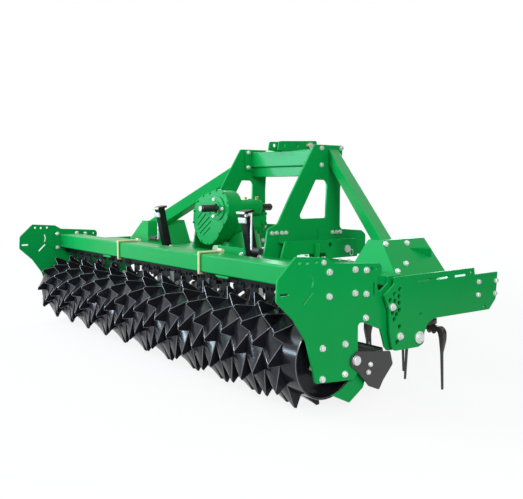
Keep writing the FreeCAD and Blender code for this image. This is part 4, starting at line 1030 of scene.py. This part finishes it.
# ---- Scrapers
# An angle bar under the crossbeam carries one flat blade for each ring of teeth. Each blade is held
# by two bolts, and wears against the soil that the roller lifts.
scraper_black = finish_of("Scraper black", (0.006, 0.006, 0.007), (0.018, 0.018, 0.019), 0.5, patch=30,
                          grain=300, relief=0.12, specular=0.08)
dressed("scraper_bar", scraper_black, 0.0012)
dressed("scrapers", scraper_black, 0.0008)
RING_PITCH = 125.0
BLADE_W = 70
BLADE_BOLTS, BOLT_UNDER = (18, 52), 11      # from a blade's left edge, and below its top
blade_low, blade_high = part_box("scrapers")
blade_count = round(((blade_high.x - blade_low.x) * M - BLADE_W) / RING_PITCH) + 1
spots = [here(blade_low.x * M + RING_PITCH * k + x, ahead(blade_low), blade_high.z * M - BOLT_UNDER)
         for k in range(blade_count) for x in BLADE_BOLTS]
bolts("scraper_bolts", "roller_frame", 8, (0, -1, 0), spots, scraper_black, "steel_dark")


# ---- Packer roller
# Rings of folded steel teeth are welded round a drum, each ring turned a little from the last. The
# whole is dipped in gloss black. The rounded outer folds get a lighter grey finish: painted highlights along
# them.
gloss_black = finish_of("Gloss black", (0.008, 0.008, 0.011), (0.016, 0.016, 0.021), 0.2, patch=7, grain=120,
                        relief=0.05, coat=0.05, specular=0.16)
# Lighter grey finish for the rounded folds of the roller: a painted highlight along each ridge.
fold_highlight_grey = finish_of("Painted highlight on folds", (0.20, 0.20, 0.21), (0.07, 0.07, 0.075), 0.28, patch=16,
                       grain=200, relief=0.05, metal=0.4, coat=0.3)
FOLD_EDGE = 0.003       # width of the round along a fold
SMOOTH_TO = math.radians(36)        # folds that turn less than this look smooth
FOLD_FROM = math.radians(40)        # outer folds that turn more than this are rounded


def folded(mesh, finish, highlight_finish):
    """A mesh of flat folded facets, with every outer fold rounded and given the second finish, a painted
    highlight.
    """
    shape, share = flat_sided(mesh)
    for side in shape.edges:
        turn = side.calc_face_angle_signed()
        side.smooth = abs(turn) < SMOOTH_TO
        side[share] = 1.0 if turn > FOLD_FROM else 0.0
    flat = mesh_of(shape, "folded")
    flat.materials.append(finish)
    flat.materials.append(highlight_finish)
    # The bevel faces take the second material, the painted highlight.
    bevel = {"width": FOLD_EDGE, "segments": 1, "limit_method": "WEIGHT", "use_clamp_overlap": False,
             "material": 1}
    return worked(flat, ("BEVEL", bevel))


skin = folded(frame["nodes"]["roller"].data, gloss_black, fold_highlight_grey)
fitted("roller_finished", skin, "packer", None, ["roller"])
DISC_BEHIND = 81        # the roller's end disc, in from the outer face of its bearing
DRUM_BOLTS_R, DRUM_BOLTS_OUT = 72, 10
disc_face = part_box("bearings")[1].x * M - DISC_BEHIND
for side, way in SIDES:
    turned("drum_hub_" + side, "packer", black_enamel,
           [(-1, 30), (-1, 92), (9, 92), (10, 90), (10, 46), (18, 44), (18, 30), (-1, 30)],
           here(way * disc_face, drum_y, drum_z), (way, 0, 0), 40, 0.001)
    spots = [here(way * (disc_face + DRUM_BOLTS_OUT), drum_y + a, drum_z + b)
             for a, b in on_circle(DRUM_BOLTS_R, range(30, 390, 60))]
    bolts("drum_bolts_" + side, "packer", 12, (way, 0, 0), spots)


# ---- Roller bearings
# Flanged ball bearings in cast housings are bolted inside the side plates. They carry the roller's
# journals and are sprayed green with the plates.
dressed("bearings", cast_green, 0.0018)


# ---- Side deflectors
# A black bracket hangs on a large bolt outside each side plate. It carries a green blade that closes
# the end of the roller.
dark_paint = finish_of("Dark grey paint", (0.030, 0.030, 0.030), (0.042, 0.042, 0.042), 0.42, patch=8,
                       grain=240, relief=0.08, coat=0.1)
DEFLECTOR_Y, DEFLECTOR_Z = -591.0, 236.0
DEFLECTOR_HEAD = 11     # height of the large bolt's plain head on the bracket
blade_bolts = [(DEFLECTOR_Y + 91, DEFLECTOR_Z - 32), (DEFLECTOR_Y + 78, DEFLECTOR_Z - 66)]
bracket_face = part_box("deflector_bracket_right")[1].x * M - DEFLECTOR_HEAD
for side, way in SIDES:
    body = "deflector_" + side
    dressed("deflector_bracket_" + side, dark_paint, 0.0012)
    dressed("deflector_blade_" + side, green)
    turned("deflector_head_" + side, body, zinc,
           [(-0.5, 0), (-0.5, 23), (1.5, 23), (1.5, 21.6), (10, 21.6), (12, 19), (12, 0)],
           here(way * bracket_face, DEFLECTOR_Y, DEFLECTOR_Z), (way, 0, 0), 32, 0.0008)
    bolts("deflector_bolts_" + side, body, 12, (way, 0, 0), across(way, bracket_face, blade_bolts))
